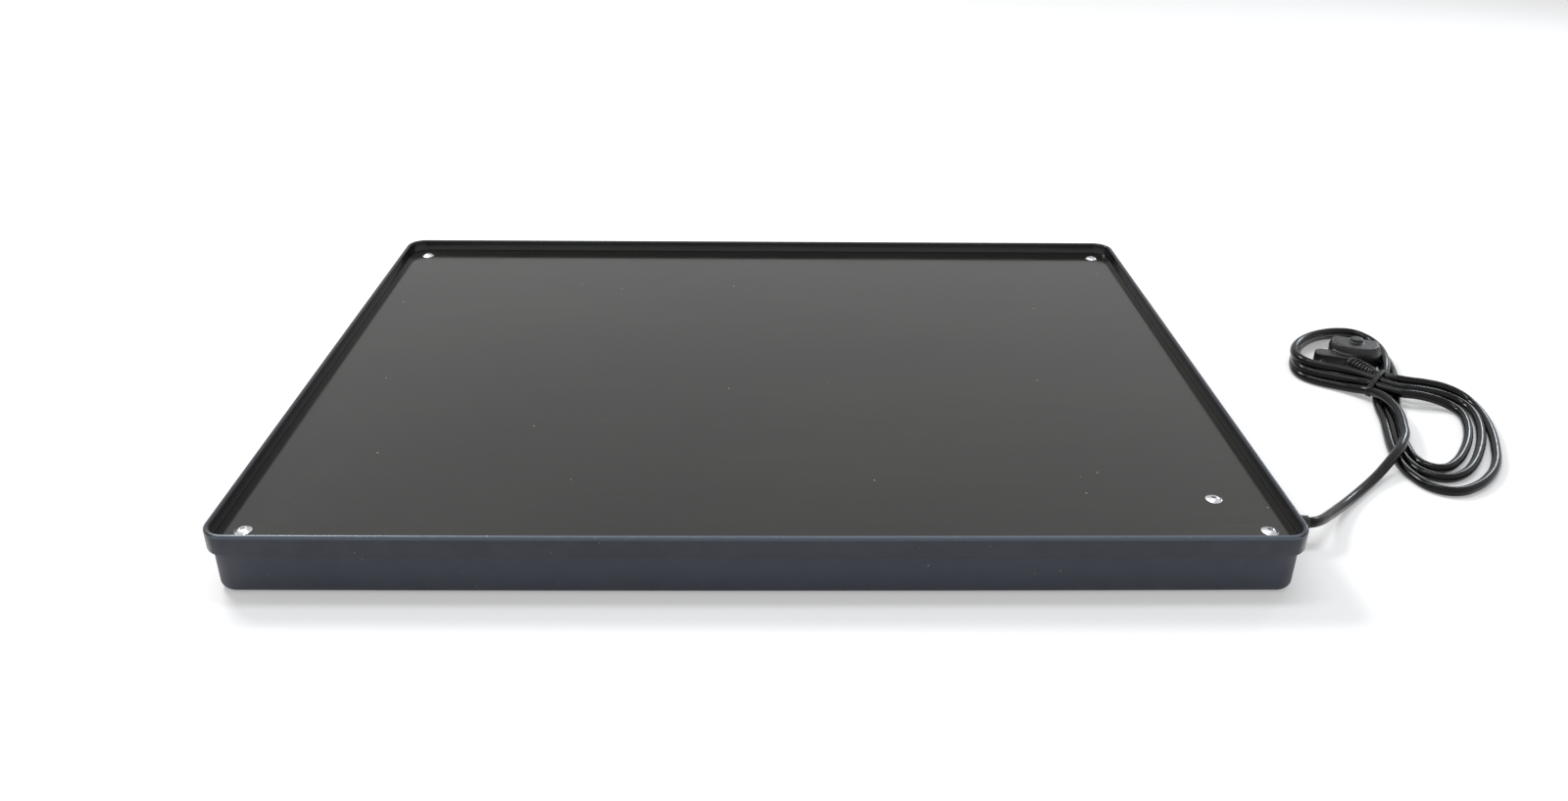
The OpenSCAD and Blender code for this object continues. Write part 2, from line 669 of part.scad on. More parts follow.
rib_pitch = 3.2;                          // spacing of the boot's ribs
rib_t = 1.8;                              // thickness of the ribs
rib_count = 6;                            // number of ribs

module at_plug() {
    translate(plug_at) rotate([0, 0, plug_turn]) children();
}

module at_boot() {
    translate(boot_at) rotate([0, 0, boot_turn]) rotate([0, 90, 0]) children();
}

// a disc facing the pins, cut flat above and below
module flat_disc(d, h, t) {
    intersection() {
        rotate([90, 0, 0]) cylinder(d = d, h = t, $fn = 64);
        translate([-d, -t - cut, -h / 2]) cube([2 * d, t + 2 * cut, h]);
    }
}

module plug_body() {
    color([0.09, 0.09, 0.1]) difference() {
        at_plug() difference() {
            union() {
                flat_disc(plug_d, plug_h, face_t);
                translate([0, -face_t, 0]) flat_disc(back_d, plug_h - 3, back_t);
                translate([0, -face_t / 2, plug_h / 2 - cut]) cylinder(d = stud_d, h = stud_h + cut);
                translate([grip_left, -grip_back, -plug_h / 2])
                    cube([grip_right - grip_left, grip_t, grip_h]);
                translate([grip_left, -grip_back + grip_t / 2, -plug_h / 2]) cylinder(d = grip_t, h = grip_h);
            }
            translate([grip_left, -face_t, grip_h / 2 - plug_h / 2]) rotate([90, 0, 0])
                cylinder(d = grip_hole_d, h = grip_back);
            for (s = [-1, 1]) translate([s * (plug_d / 2 - 1), -face_t / 2 + 1, 0])
                cube([3, face_t + 2, notch_w], center = true);
        }
        at_boot() cylinder(d = boot_d + 2 * snug, h = 2 * boot_len);
    }
}

module plug_earth_strips() {
    color([0.8, 0.8, 0.78]) at_plug() for (s = [-1, 1])
        translate([s * (plug_d / 2 - 2) - strip_t / 2, -face_t + 2, -notch_w / 2 + 1])
            cube([strip_t, face_t - 3, notch_w - 2]);
}

module plug_pins() {
    color([0.8, 0.8, 0.78]) at_plug() for (s = [-1, 1]) translate([s * pin_pitch / 2, 0, 0])
        rotate([-90, 0, 0]) {
            cylinder(d = pin_d, h = pin_len - pin_d / 2);
            translate([0, 0, pin_len - pin_d / 2]) intersection() {
                sphere(d = pin_d);
                cylinder(d = pin_d, h = pin_d);
            }
        }
}

module plug_boot() {
    color([0.09, 0.09, 0.1]) at_boot() {
        cylinder(d = boot_d - 2, h = boot_len);
        cylinder(d = boot_d, h = 4);
        for (k = [1 : rib_count - 1]) translate([0, 0, rib_pitch * k + 2])
            cylinder(d = boot_d - 0.3 * k, h = rib_t);
    }
}

base_tray();
plate_gasket();
heating_plate();
corner_rivets();
earth_rivet();
rivet_mandrels();
rivet_washers();
earth_ring_terminal();
heating_cable();
heater_foil();
insulation_board();
cutout_cup();
cutout_body();
cutout_tabs();
terminal_block();
terminal_sleeves();
terminal_screws();
cord_gland();
cord_clamp();
clamp_screws();
inner_lead();
core_live();
core_neutral();
core_earth();
cutout_lead();
heater_lead_live();
heater_lead_neutral();
power_cord();
cord_hank();
cord_tie();
plug_boot();
plug_body();
plug_pins();
plug_earth_strips();
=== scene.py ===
import math

import bmesh
import bpy
from mathutils import Matrix, Vector


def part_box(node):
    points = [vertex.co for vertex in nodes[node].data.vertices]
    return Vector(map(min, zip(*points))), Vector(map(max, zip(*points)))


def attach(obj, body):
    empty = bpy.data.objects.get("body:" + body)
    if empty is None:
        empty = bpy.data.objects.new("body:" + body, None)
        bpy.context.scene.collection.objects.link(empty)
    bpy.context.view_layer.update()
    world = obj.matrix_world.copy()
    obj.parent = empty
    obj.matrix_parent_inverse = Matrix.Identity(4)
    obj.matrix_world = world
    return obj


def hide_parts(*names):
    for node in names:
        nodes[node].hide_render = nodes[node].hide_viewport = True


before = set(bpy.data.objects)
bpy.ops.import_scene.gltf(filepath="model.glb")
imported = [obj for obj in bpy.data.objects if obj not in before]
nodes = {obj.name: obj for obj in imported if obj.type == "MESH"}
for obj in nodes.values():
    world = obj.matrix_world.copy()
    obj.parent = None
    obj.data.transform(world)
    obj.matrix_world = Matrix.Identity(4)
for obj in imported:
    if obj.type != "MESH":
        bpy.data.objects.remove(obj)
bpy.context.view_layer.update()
sceneCol = bpy.context.scene.collection
mm = 0.001


# the camera stands in front of the tray and looks down at it
camera = {
    "lens": 28.67,
    "sensor": 36.0,
    "place": (0.0005, -0.7897, 0.4084),
    "pitchDeg": 27.18,
    "yawDeg": 1.159,
    "rollDeg": 0.68,
}


def addCamera(s):
    pitch, yaw, roll = (math.radians(s[k]) for k in ("pitchDeg", "yawDeg", "rollDeg"))
    ahead = math.cos(pitch)
    look = Vector((math.sin(yaw) * ahead, math.cos(yaw) * ahead, -math.sin(pitch)))
    right = look.cross(Vector((0, 0, 1))).normalized()
    up = right.cross(look)
    rightRolled = math.cos(roll) * right + math.sin(roll) * up
    upRolled = math.cos(roll) * up - math.sin(roll) * right
    data = bpy.data.cameras.new("camera")
    data.lens = s["lens"]
    data.sensor_width = s["sensor"]
    data.clip_start = 0.01
    obj = bpy.data.objects.new("camera", data)
    turn = Matrix((rightRolled, upRolled, -look)).transposed()
    obj.matrix_world = Matrix.Translation(s["place"]) @ turn.to_4x4()
    sceneCol.objects.link(obj)
    bpy.context.scene.camera = obj


addCamera(camera)
print("camera set")


def newObject(name, data):
    obj = bpy.data.objects.new(name, data)
    sceneCol.objects.link(obj)
    return obj


def meshObject(name, verts, faces, smooth=True):
    mesh = bpy.data.meshes.new(name)
    mesh.from_pydata([tuple(v) for v in verts], [], faces)
    mesh.validate()
    mesh.update()
    if smooth:
        mesh.shade_smooth()
    return newObject(name, mesh)


def bakeModifiers(obj):
    graph = bpy.context.evaluated_depsgraph_get()
    mesh = bpy.data.meshes.new_from_object(obj.evaluated_get(graph), depsgraph=graph)
    obj.modifiers.clear()
    obj.data = mesh
    return obj


def lathe(name, profile, sides=48, axis=Matrix.Identity(4)):
    # profile is (radius, height) from the bottom of the axis to the top
    verts, faces = [], []
    rings = []
    for r, z in profile:
        if r < 1e-9:
            rings.append([len(verts)])
            verts.append(axis @ Vector((0, 0, z)))
        else:
            rings.append(list(range(len(verts), len(verts) + sides)))
            for k in range(sides):
                a = 2 * math.pi * k / sides
                verts.append(axis @ Vector((r * math.cos(a), r * math.sin(a), z)))
    for low, high in zip(rings, rings[1:]):
        for k in range(sides):
            n = (k + 1) % sides
            if len(low) == 1:
                faces.append((low[0], high[n], high[k]))
            elif len(high) == 1:
                faces.append((low[k], low[n], high[0]))
            else:
                faces.append((low[k], low[n], high[n], high[k]))
    return meshObject(name, verts, faces)


def smoothByAngle(obj, degrees=35):
    mesh = obj.data
    bm = bmesh.new()
    bm.from_mesh(mesh)
    for f in bm.faces:
        f.smooth = True
    for e in bm.edges:
        e.smooth = not (len(e.link_faces) == 2 and e.calc_face_angle(0) > math.radians(degrees))
    bm.to_mesh(mesh)
    bm.free()


class Nodes:
    # a small wrapper that keeps a material's node code short
    def __init__(self, name):
        self.mat = bpy.data.materials.new(name)
        self.mat.use_nodes = True
        self.tree = self.mat.node_tree
        self.tree.nodes.clear()
        self.out = self.add("ShaderNodeOutputMaterial")
        self.shader = self.add("ShaderNodeBsdfPrincipled")
        self.link(self.shader.outputs["BSDF"], self.out.inputs["Surface"])
        self.coords = self.add("ShaderNodeTexCoord").outputs["Object"]

    def add(self, kind, **props):
        node = self.tree.nodes.new(kind)
        for k, v in props.items():
            setattr(node, k, v)
        return node

    def link(self, a, b):
        self.tree.links.new(a, b)

    def noise(self, scale, detail=3.0, rough=0.5, stretch=None):
        node = self.add("ShaderNodeTexNoise")
        node.inputs["Scale"].default_value = scale
        node.inputs["Detail"].default_value = detail
        node.inputs["Roughness"].default_value = rough
        self.link(self.placed(stretch), node.inputs["Vector"])
        return node.outputs["Fac"]

    def placed(self, stretch):
        if stretch is None:
            return self.coords
        node = self.add("ShaderNodeMapping")
        node.inputs["Scale"].default_value = stretch
        self.link(self.coords, node.inputs["Vector"])
        return node.outputs["Vector"]

    def specks(self, scale, size, share, soft=0.3):
        # round specks, one in share of the cells of a voronoi pattern
        node = self.add("ShaderNodeTexVoronoi")
        node.inputs["Scale"].default_value = scale
        self.link(self.coords, node.inputs["Vector"])
        near = self.ramp(node.outputs["Distance"], size * (1 - soft), size, 1.0, 0.0)
        picked = self.math("LESS_THAN", self.split(node.outputs["Color"]), share)
        return self.math("MULTIPLY", near, picked)

    def split(self, colour):
        node = self.add("ShaderNodeSeparateColor")
        self.link(colour, node.inputs["Color"])
        return node.outputs["Red"]

    def ramp(self, value, low, high, toLow=0.0, toHigh=1.0):
        node = self.add("ShaderNodeMapRange")
        node.inputs["From Min"].default_value = low
        node.inputs["From Max"].default_value = high
        node.inputs["To Min"].default_value = toLow
        node.inputs["To Max"].default_value = toHigh
        self.link(value, node.inputs["Value"])
        return node.outputs["Result"]

    def math(self, kind, a, b):
        node = self.add("ShaderNodeMath", operation=kind)
        for socket, v in zip(node.inputs, (a, b)):
            if isinstance(v, (int, float)):
                socket.default_value = v
            else:
                self.link(v, socket)
        return node.outputs["Value"]

    def mix(self, fac, a, b):
        node = self.add("ShaderNodeMix", data_type="RGBA")
        if isinstance(fac, (int, float)):
            node.inputs["Factor"].default_value = fac
        else:
            self.link(fac, node.inputs["Factor"])
        for socket, v in ((node.inputs["A"], a), (node.inputs["B"], b)):
            if isinstance(v, tuple):
                socket.default_value = v + (1.0,)
            else:
                self.link(v, socket)
        return node.outputs["Result"]

    def bump(self, height, distance, strength=1.0, base=None):
        node = self.add("ShaderNodeBump")
        node.inputs["Distance"].default_value = distance
        node.inputs["Strength"].default_value = strength
        self.link(height, node.inputs["Height"])
        if base is not None:
            self.link(base, node.inputs["Normal"])
        return node.outputs["Normal"]

    def set(self, socket, value):
        if isinstance(value, bpy.types.NodeSocket):
            self.link(value, self.shader.inputs[socket])
        else:
            self.shader.inputs[socket].default_value = value


def srgb(*rgb):
    # colours are written as they look, from 0 to 255
    return tuple(((c / 255 + 0.055) / 1.055) ** 2.4 if c > 10 else c / 255 / 12.92 for c in rgb)


def plainFinish(name, low, high, rough, metal):
    # a moulded or metal finish: slow colour drift, fine grain and uneven gloss
    scale = 180.0
    n = Nodes(name)
    drift = n.noise(scale * 0.12, 4.0, 0.6)
    grain = n.noise(scale * 9.0, 2.0, 0.6)
    n.set("Base Color", n.mix(n.ramp(drift, 0.3, 0.7), low, high))
    n.set("Roughness", n.ramp(n.noise(scale, 4.0, 0.6), 0.3, 0.7, rough[0], rough[1]))
    n.set("Metallic", metal)
    n.set("Normal", n.bump(grain, 0.00005, 0.5))
    return n.mat


# the free cord in mm: straight out of the sleeve, then three turns of a figure of eight
cordSizes = {"radius": 3.2, "steps": 12, "handle": 0.36, "straightStart": 1.4}  # handle is a share of the gap
leadPath = [
    (319.5, -178, 15), (323.5, -177.4, 14.9), (330.5, -172, 13), (340, -161.5, 9.6), (350, -150.5, 6.6),
    (360, -140, 4.5), (369, -131, 3.5), (377.5, -122.8, 3.3), (386.5, -114.2, 3.6), (395.5, -105.8, 4.9),
    (404, -97.5, 7), (412, -89.3, 9), (419.5, -80.8, 10.1), (426.2, -71.3, 10.3),
    (432.2, -61, 10.2), (436, -50.5, 10.2), (439.5, -40.5, 10.2), (442, -31, 10.2), (443, -22, 10.2),
    (443, -12, 10.2), (441.8, -2.5, 9.6)]
upperTurns = [
    [(438.5, 8.5, 7.6), (431.5, 17, 5.2), (423, 25, 3.7), (413, 32, 3.25), (405.5, 39.5, 3.25),
     (402.5, 49, 3.25), (404.5, 61, 3.25), (410, 74, 3.25), (417, 87, 3.25), (426, 99, 3.25),
     (437.5, 109, 3.25), (450.5, 115, 3.25), (462.5, 115.5, 3.25), (472.5, 110, 3.25), (478.5, 99.5, 3.25),
     (480.5, 87, 3.25), (480, 73, 3.25), (477, 57, 3.25), (472.5, 41, 3.25), (466.5, 25.5, 3.25),
     (460.5, 11, 3.25), (454, -3.5, 3.25)],
    [(442, 15, 9.6), (434.5, 23, 8.4), (424.5, 30, 7.4), (414, 36.5, 7.2), (406.5, 43.5, 7.4),
     (404, 53, 7.6), (406.5, 65, 7.6), (412, 78, 7.6), (420, 90, 7.6), (431.5, 100.5, 7.6),
     (444, 107, 7.6), (456.5, 109, 7.2), (466.5, 105.5, 6.2), (472.5, 96.5, 4.4), (474, 84, 3.4),
     (473.5, 71, 3.25), (470.5, 56, 3.25), (466, 41, 3.25), (460, 26.5, 3.25), (454, 12.5, 3.25),
     (448, -2, 3.25)],
    [(447, 21, 10.8), (439.5, 28.5, 11), (429, 35.5, 11.2), (417.5, 41, 11.4), (408.5, 47.5, 11.8),
     (404.5, 57.5, 12), (407, 70, 12), (415.5, 83, 12), (427.5, 93.5, 12), (441, 100.5, 12),
     (454, 103.5, 11.8), (465, 102, 11.4), (472.5, 95, 10.6), (476, 84.5, 9.8), (475.5, 72, 9.4),
     (472, 58.5, 9.2), (466.5, 45, 8.6), (459, 31, 7), (450.5, 17.5, 4.2), (443, 3, 3.25)]]
lowerTurns = [
    [(447.5, -18, 3.25), (442, -34, 3.25), (436.5, -51, 3.25), (432, -68, 3.25), (430.5, -82, 3.25),
     (434.5, -92.5, 3.25), (443.5, -95, 3.25), (454.5, -88, 3.25), (468, -72.5, 3.25), (481.5, -51.5, 3.25),
     (490.5, -31, 3.25), (493, -17, 3.6), (489, -8.5, 5), (480.5, -4.5, 7.4), (469, -2, 9.4),
     (456.5, 1, 9.8)],
    [(443, -14, 3.25), (438.5, -31, 3.25), (432, -50, 3.25), (426.5, -68, 3.25), (424, -85, 3.25),
     (427, -99.5, 3.25), (436.5, -107, 3.25), (449, -104.5, 3.25), (463, -93, 3.25), (479, -71.5, 3.25),
     (492, -48.5, 3.25), (500.5, -26.5, 3.25), (502, -12, 3.8), (497.5, -2, 5.4), (487.5, 2.5, 8),
     (475, 5, 9.8), (461, 8.5, 10.2)],
    [(438.5, -11, 3.25), (434, -29, 3.25), (427.5, -49, 3.25), (421.5, -69, 3.25), (418, -88, 3.25),
     (419, -105, 3.25), (425, -118.5, 3.25), (437, -123.5, 3.25), (451, -119, 3.25), (467, -106.5, 3.25),
     (481, -89, 3.25), (492.5, -66.5, 3.25), (501.5, -43.5, 3.25), (507, -22, 3.3), (507.5, -5.5, 4.4),
     (502.5, 5, 7), (493, 11, 9.6), (481, 14, 11.2), (469, 16, 12), (459, 20, 12.2),
     (453.6, 26, 11), (452.3, 33, 9)]]


def makeCord(s):
    route = list(leadPath)
    for upper, lower in zip(upperTurns, lowerTurns):
        route += upper + lower
    curve = bpy.data.curves.new("cord", "CURVE")
    curve.dimensions = "3D"
    curve.bevel_depth = s["radius"] * mm
    curve.bevel_resolution = 5
    curve.resolution_u = s["steps"]
    curve.use_fill_caps = True
    spline = curve.splines.new("BEZIER")
    spline.bezier_points.add(len(route) - 1)
    spots = [Vector(p) * mm for p in route]
    for i, (point, p) in enumerate(zip(spline.bezier_points, spots)):
        before, after = spots[max(i - 1, 0)], spots[min(i + 1, len(spots) - 1)]
        way = (after - before).normalized()
        back, ahead = (p - before).length or 0.001, (after - p).length or 0.001
        point.co = p
        point.handle_left_type = point.handle_right_type = "FREE"
        point.handle_left = p - way * back * s["handle"]
        point.handle_right = p + way * ahead * s["handle"]
    spline.bezier_points[0].handle_right = spots[0] + Vector((s["straightStart"] * mm, 0, 0))
    length = sum((b - a).length for a, b in zip(spots, spots[1:]))
    return newObject("cord", curve), length


cord, cordLength = makeCord(cordSizes)
print("cord laid, %.0f mm between its points" % (cordLength * 1000))


# the plug in mm: a round part behind, a grip block in front, and a ribbed boot
plug = {
    "at": (454, 73, 10), "turnDeg": -20, "faceD": 37, "faceT": 12, "height": 20,
    "domeT": 11, "studD": 9, "studH": 2.6,
    "gripLeft": -23, "gripRight": -1, "gripBack": 27, "gripT": 12, "gripH": 14.3, "holeD": 4.6,
    "notchW": 6, "voxel": 0.55, "domeInset": 0.6, "notchD": 0.4, "holeDepth": 16, "smoothing": 5,
}
boot = {"at": (443, 53, 9), "turnDeg": -65, "length": 22, "rootD": 12.0, "tipD": 9.2, "coreD": 7.8, "ribs": 7,
        "pitch": 2.75, "ribT": 1.7, "edge": 0.6, "collarL": 3.8, "neckAt": 4.2, "firstRib": 6.2, "tipR": 3.3,
        "sinkRoot": 1.05, "sinkTip": 0.75}


def discAcross(name, d, height, y0, y1, sides=72):
    # a round piece whose axis is Y, cut flat at half its height above and below
    verts, faces = [], []
    for y in (y0, y1):
        for k in range(sides):
            a = 2 * math.pi * k / sides
            z = max(-height / 2, min(height / 2, d / 2 * math.sin(a)))
            verts.append((d / 2 * math.cos(a) * mm, y * mm, z * mm))
    for k in range(sides):
        n = (k + 1) % sides
        faces.append((k, n, sides + n, sides + k))
    faces.append(tuple(range(sides - 1, -1, -1)))
    faces.append(tuple(range(sides, 2 * sides)))
    return meshObject(name, verts, faces, smooth=False)


def domeBehind(s):
    # the round part's back swells towards the grip
    verts, faces = [], []
    rows, sides = 12, 48
    rx, ry, rz = s["faceD"] / 2 - s["domeInset"], s["domeT"], s["height"] / 2
    for i in range(rows + 1):
        swell = math.pi / 2 * i / rows
        for k in range(sides):
            a = 2 * math.pi * k / sides
            r = math.cos(swell) if i < rows else 0.02
            z = max(-rz, min(rz, rx * r * math.sin(a)))
            y = -s["faceT"] + 1 - ry * math.sin(swell)
            verts.append((rx * r * math.cos(a) * mm, y * mm, z * mm))
    for i in range(rows):
        for k in range(sides):
            n = (k + 1) % sides
            faces.append((i * sides + k, (i + 1) * sides + k, (i + 1) * sides + n, i * sides + n))
    faces.append(tuple(range(sides)))
    faces.append(tuple(rows * sides + k for k in range(sides - 1, -1, -1)))
    dome = meshObject("dome", verts, faces, smooth=False)
    bm = bmesh.new()
    bm.from_mesh(dome.data)
    bmesh.ops.recalc_face_normals(bm, faces=bm.faces)
    bm.to_mesh(dome.data)
    bm.free()
    return dome


def boxMesh(name, low, high):
    (x0, y0, z0), (x1, y1, z1) = low, high
    verts = [(x * mm, y * mm, z * mm) for x in (x0, x1) for y in (y0, y1) for z in (z0, z1)]
    faces = [(0, 1, 3, 2), (4, 6, 7, 5), (0, 4, 5, 1), (2, 3, 7, 6), (0, 2, 6, 4), (1, 5, 7, 3)]
    return meshObject(name, verts, faces, smooth=False)


def boolean(obj, other, kind):
    mod = obj.modifiers.new(kind, "BOOLEAN")
    mod.operation = kind
    mod.object = other
    mod.solver = "EXACT"
    bakeModifiers(obj)
    bpy.data.objects.remove(other)


def roundOff(obj, voxel, passes):
    remesh = obj.modifiers.new("remesh", "REMESH")
    remesh.mode = "VOXEL"
    remesh.voxel_size = voxel * mm
    smoothing = obj.modifiers.new("smooth", "SMOOTH")
    smoothing.factor = 0.5
    smoothing.iterations = passes
    bakeModifiers(obj)
    obj.data.shade_smooth()


def makePlugBody(s):
    h = s["height"]
    body = discAcross("plugBody", s["faceD"], h, -s["faceT"], 0)
    boolean(body, domeBehind(s), "UNION")
    gripTop = s["gripH"] - h / 2
    gripLow = (s["gripLeft"], -s["gripBack"], -h / 2)
    gripHigh = (s["gripRight"], -s["gripBack"] + s["gripT"], gripTop)
    boolean(body, boxMesh("grip", gripLow, gripHigh), "UNION")
    middle = Vector((s["gripLeft"], -s["gripBack"] + s["gripT"] / 2, 0)) * mm
    r = s["gripT"] / 2 * mm
    tall = [(0, -h / 2 * mm), (r, -h / 2 * mm), (r, gripTop * mm), (0, gripTop * mm)]
    boolean(body, lathe("gripEnd", tall, 40, Matrix.Translation(middle)), "UNION")
    studAt = Vector((0, -s["faceT"] / 2, 0)) * mm
    rs = s["studD"] / 2 * mm
    stud = [(0, 0), (rs, 0), (rs, (h / 2 + s["studH"]) * mm), (0, (h / 2 + s["studH"]) * mm)]
    boolean(body, lathe("stud", stud, 40, Matrix.Translation(studAt)), "UNION")
    # notches in the round face's edge, where fingers pull
    for side in (-1, 1):
        x = side * (s["faceD"] / 2 - s["notchD"])
        low = (min(x, x + side * 3), -s["faceT"] - 0.5, -s["notchW"] / 2)
        high = (max(x, x + side * 3), 1, s["notchW"] / 2)
        boolean(body, boxMesh("notch", low, high), "DIFFERENCE")
    hr = s["holeD"] / 2 * mm
    holeAt = Vector((s["gripLeft"], -s["gripBack"] - 1, gripTop - s["gripH"] / 2)) * mm
    axis = Matrix.Translation(holeAt) @ Matrix.Rotation(-math.pi / 2, 4, "X")
    deep = s["holeDepth"] * mm
    boolean(body, lathe("hole", [(0, 0), (hr, 0), (hr, deep), (0, deep)], 32, axis), "DIFFERENCE")
    roundOff(body, s["voxel"], s["smoothing"])
    place = Matrix.Translation(Vector(s["at"]) * mm) @ Matrix.Rotation(math.radians(s["turnDeg"]), 4, "Z")
    body.data.transform(place)
    # nothing under the floor after the smoothing
    low = min(v.co.z for v in body.data.vertices)
    body.data.transform(Matrix.Translation((0, 0, -low)))
    return body


def bootMatrix(s):
    return (Matrix.Translation(Vector(s["at"]) * mm) @ Matrix.Rotation(math.radians(s["turnDeg"]), 4, "Z")
            @ Matrix.Rotation(math.pi / 2, 4, "Y"))


def ringTree(name, s, mat):
    # ribs set out along Z, each a little smaller than the one before
    tree = bpy.data.node_groups.new(name, "GeometryNodeTree")
    face = tree.interface
    face.new_socket("Geometry", in_out="INPUT", socket_type="NodeSocketGeometry")
    face.new_socket("Ribs", in_out="INPUT", socket_type="NodeSocketInt")
    for label in ("Pitch", "Root radius", "Tip radius", "Rib radius"):
        face.new_socket(label, in_out="INPUT", socket_type="NodeSocketFloat")
    face.new_socket("Geometry", in_out="OUTPUT", socket_type="NodeSocketGeometry")
    add, link = tree.nodes.new, tree.links.new
    start, end = add("NodeGroupInput"), add("NodeGroupOutput")
    line = add("GeometryNodeMeshLine")
    line.mode = "OFFSET"
    link(start.outputs["Ribs"], line.inputs["Count"])
    step = add("ShaderNodeCombineXYZ")
    link(start.outputs["Pitch"], step.inputs["Z"])
    link(step.outputs[0], line.inputs["Offset"])
    ring = add("GeometryNodeCurvePrimitiveCircle")
    ring.inputs["Resolution"].default_value = 48
    ring.inputs["Radius"].default_value = 1.0
    index = add("GeometryNodeInputIndex")
    share = add("ShaderNodeMapRange")
    link(index.outputs[0], share.inputs["Value"])
    less = add("ShaderNodeMath")
    less.operation = "SUBTRACT"
    less.inputs[1].default_value = 1.0
    link(start.outputs["Ribs"], less.inputs[0])
    link(less.outputs[0], share.inputs["From Max"])
    link(start.outputs["Root radius"], share.inputs["To Min"])
    link(start.outputs["Tip radius"], share.inputs["To Max"])
    place = add("GeometryNodeInstanceOnPoints")
    link(line.outputs["Mesh"], place.inputs["Points"])
    link(ring.outputs["Curve"], place.inputs["Instance"])
    link(share.outputs["Result"], place.inputs["Scale"])
    real = add("GeometryNodeRealizeInstances")
    link(place.outputs["Instances"], real.inputs["Geometry"])
    section = add("GeometryNodeCurvePrimitiveCircle")
    section.inputs["Resolution"].default_value = 14
    link(start.outputs["Rib radius"], section.inputs["Radius"])
    sweep = add("GeometryNodeCurveToMesh")
    link(real.outputs["Geometry"], sweep.inputs["Curve"])
    link(section.outputs["Curve"], sweep.inputs["Profile Curve"])
    join = add("GeometryNodeJoinGeometry")
    link(start.outputs["Geometry"], join.inputs["Geometry"])
    link(sweep.outputs["Mesh"], join.inputs["Geometry"])
    smooth = add("GeometryNodeSetShadeSmooth")
    link(join.outputs["Geometry"], smooth.inputs["Geometry"])
    finish = add("GeometryNodeSetMaterial")
    finish.inputs["Material"].default_value = mat
    link(smooth.outputs["Geometry"], finish.inputs["Geometry"])
    link(finish.outputs["Geometry"], end.inputs["Geometry"])
    return tree


def setInputs(mod, values):
    for item in mod.node_group.interface.items_tree:
        if item.item_type == "SOCKET" and item.in_out == "INPUT" and item.name in values:
            mod[item.identifier] = values[item.name]


def makeBoot(s, mat):
    r0, r1 = s["coreD"] / 2 * mm, s["coreD"] / 2 * mm * 0.96
    collar = s["rootD"] / 2 * mm
    length = s["length"] * mm
    edge, collarEnd, firstRib = s["edge"] * mm, s["collarL"] * mm, s["firstRib"] * mm
    core = [(0, 0), (collar - edge, 0), (collar, edge), (collar, collarEnd - edge),
            (collar - edge, collarEnd), (r0, s["neckAt"] * mm), (r1, length - 0.8 * mm),
            (r1 - 0.4 * mm, length - 0.2 * mm),
            (s["tipR"] * mm, length), (0, length)]
    obj = lathe("plugBoot", core, 48)
    # the ribs start a little past the collar
    obj.data.transform(Matrix.Translation((0, 0, -firstRib)))
    mod = obj.modifiers.new("ribs", "NODES")
    mod.node_group = ringTree("bootRibs", s, mat)
    setInputs(mod, {"Ribs": s["ribs"] - 1, "Pitch": s["pitch"] * mm, "Rib radius": s["ribT"] / 2 * mm,
                    "Root radius": (s["rootD"] / 2 - s["sinkRoot"]) * mm,
                    "Tip radius": (s["tipD"] / 2 - s["sinkTip"]) * mm})
    bakeModifiers(obj)
    obj.data.transform(Matrix.Translation((0, 0, firstRib)))
    obj.data.transform(bootMatrix(s))
    return obj


# the tie in mm: a band drawn tight round the bundle
tie = {"middle": (445.5, 15.5), "turnDeg": 138, "width": 3.4, "thick": 1.0, "strand": 3.45,
       "strands": [(-9.6, 7.9), (-2.0, 9.8), (5.5, 10.8), (13.3, 11.4)], "perStrand": 72, "perLap": 160}


def hull(points):
    points = sorted(set(points))

    def half(seq):
        out = []
        for p in seq:
            while len(out) > 1 and ((out[-1][0] - out[-2][0]) * (p[1] - out[-2][1])
                                    - (out[-1][1] - out[-2][1]) * (p[0] - out[-2][0])) <= 0:
                out.pop()
            out.append(p)
        return out[:-1]
    return half(points) + half(points[::-1])


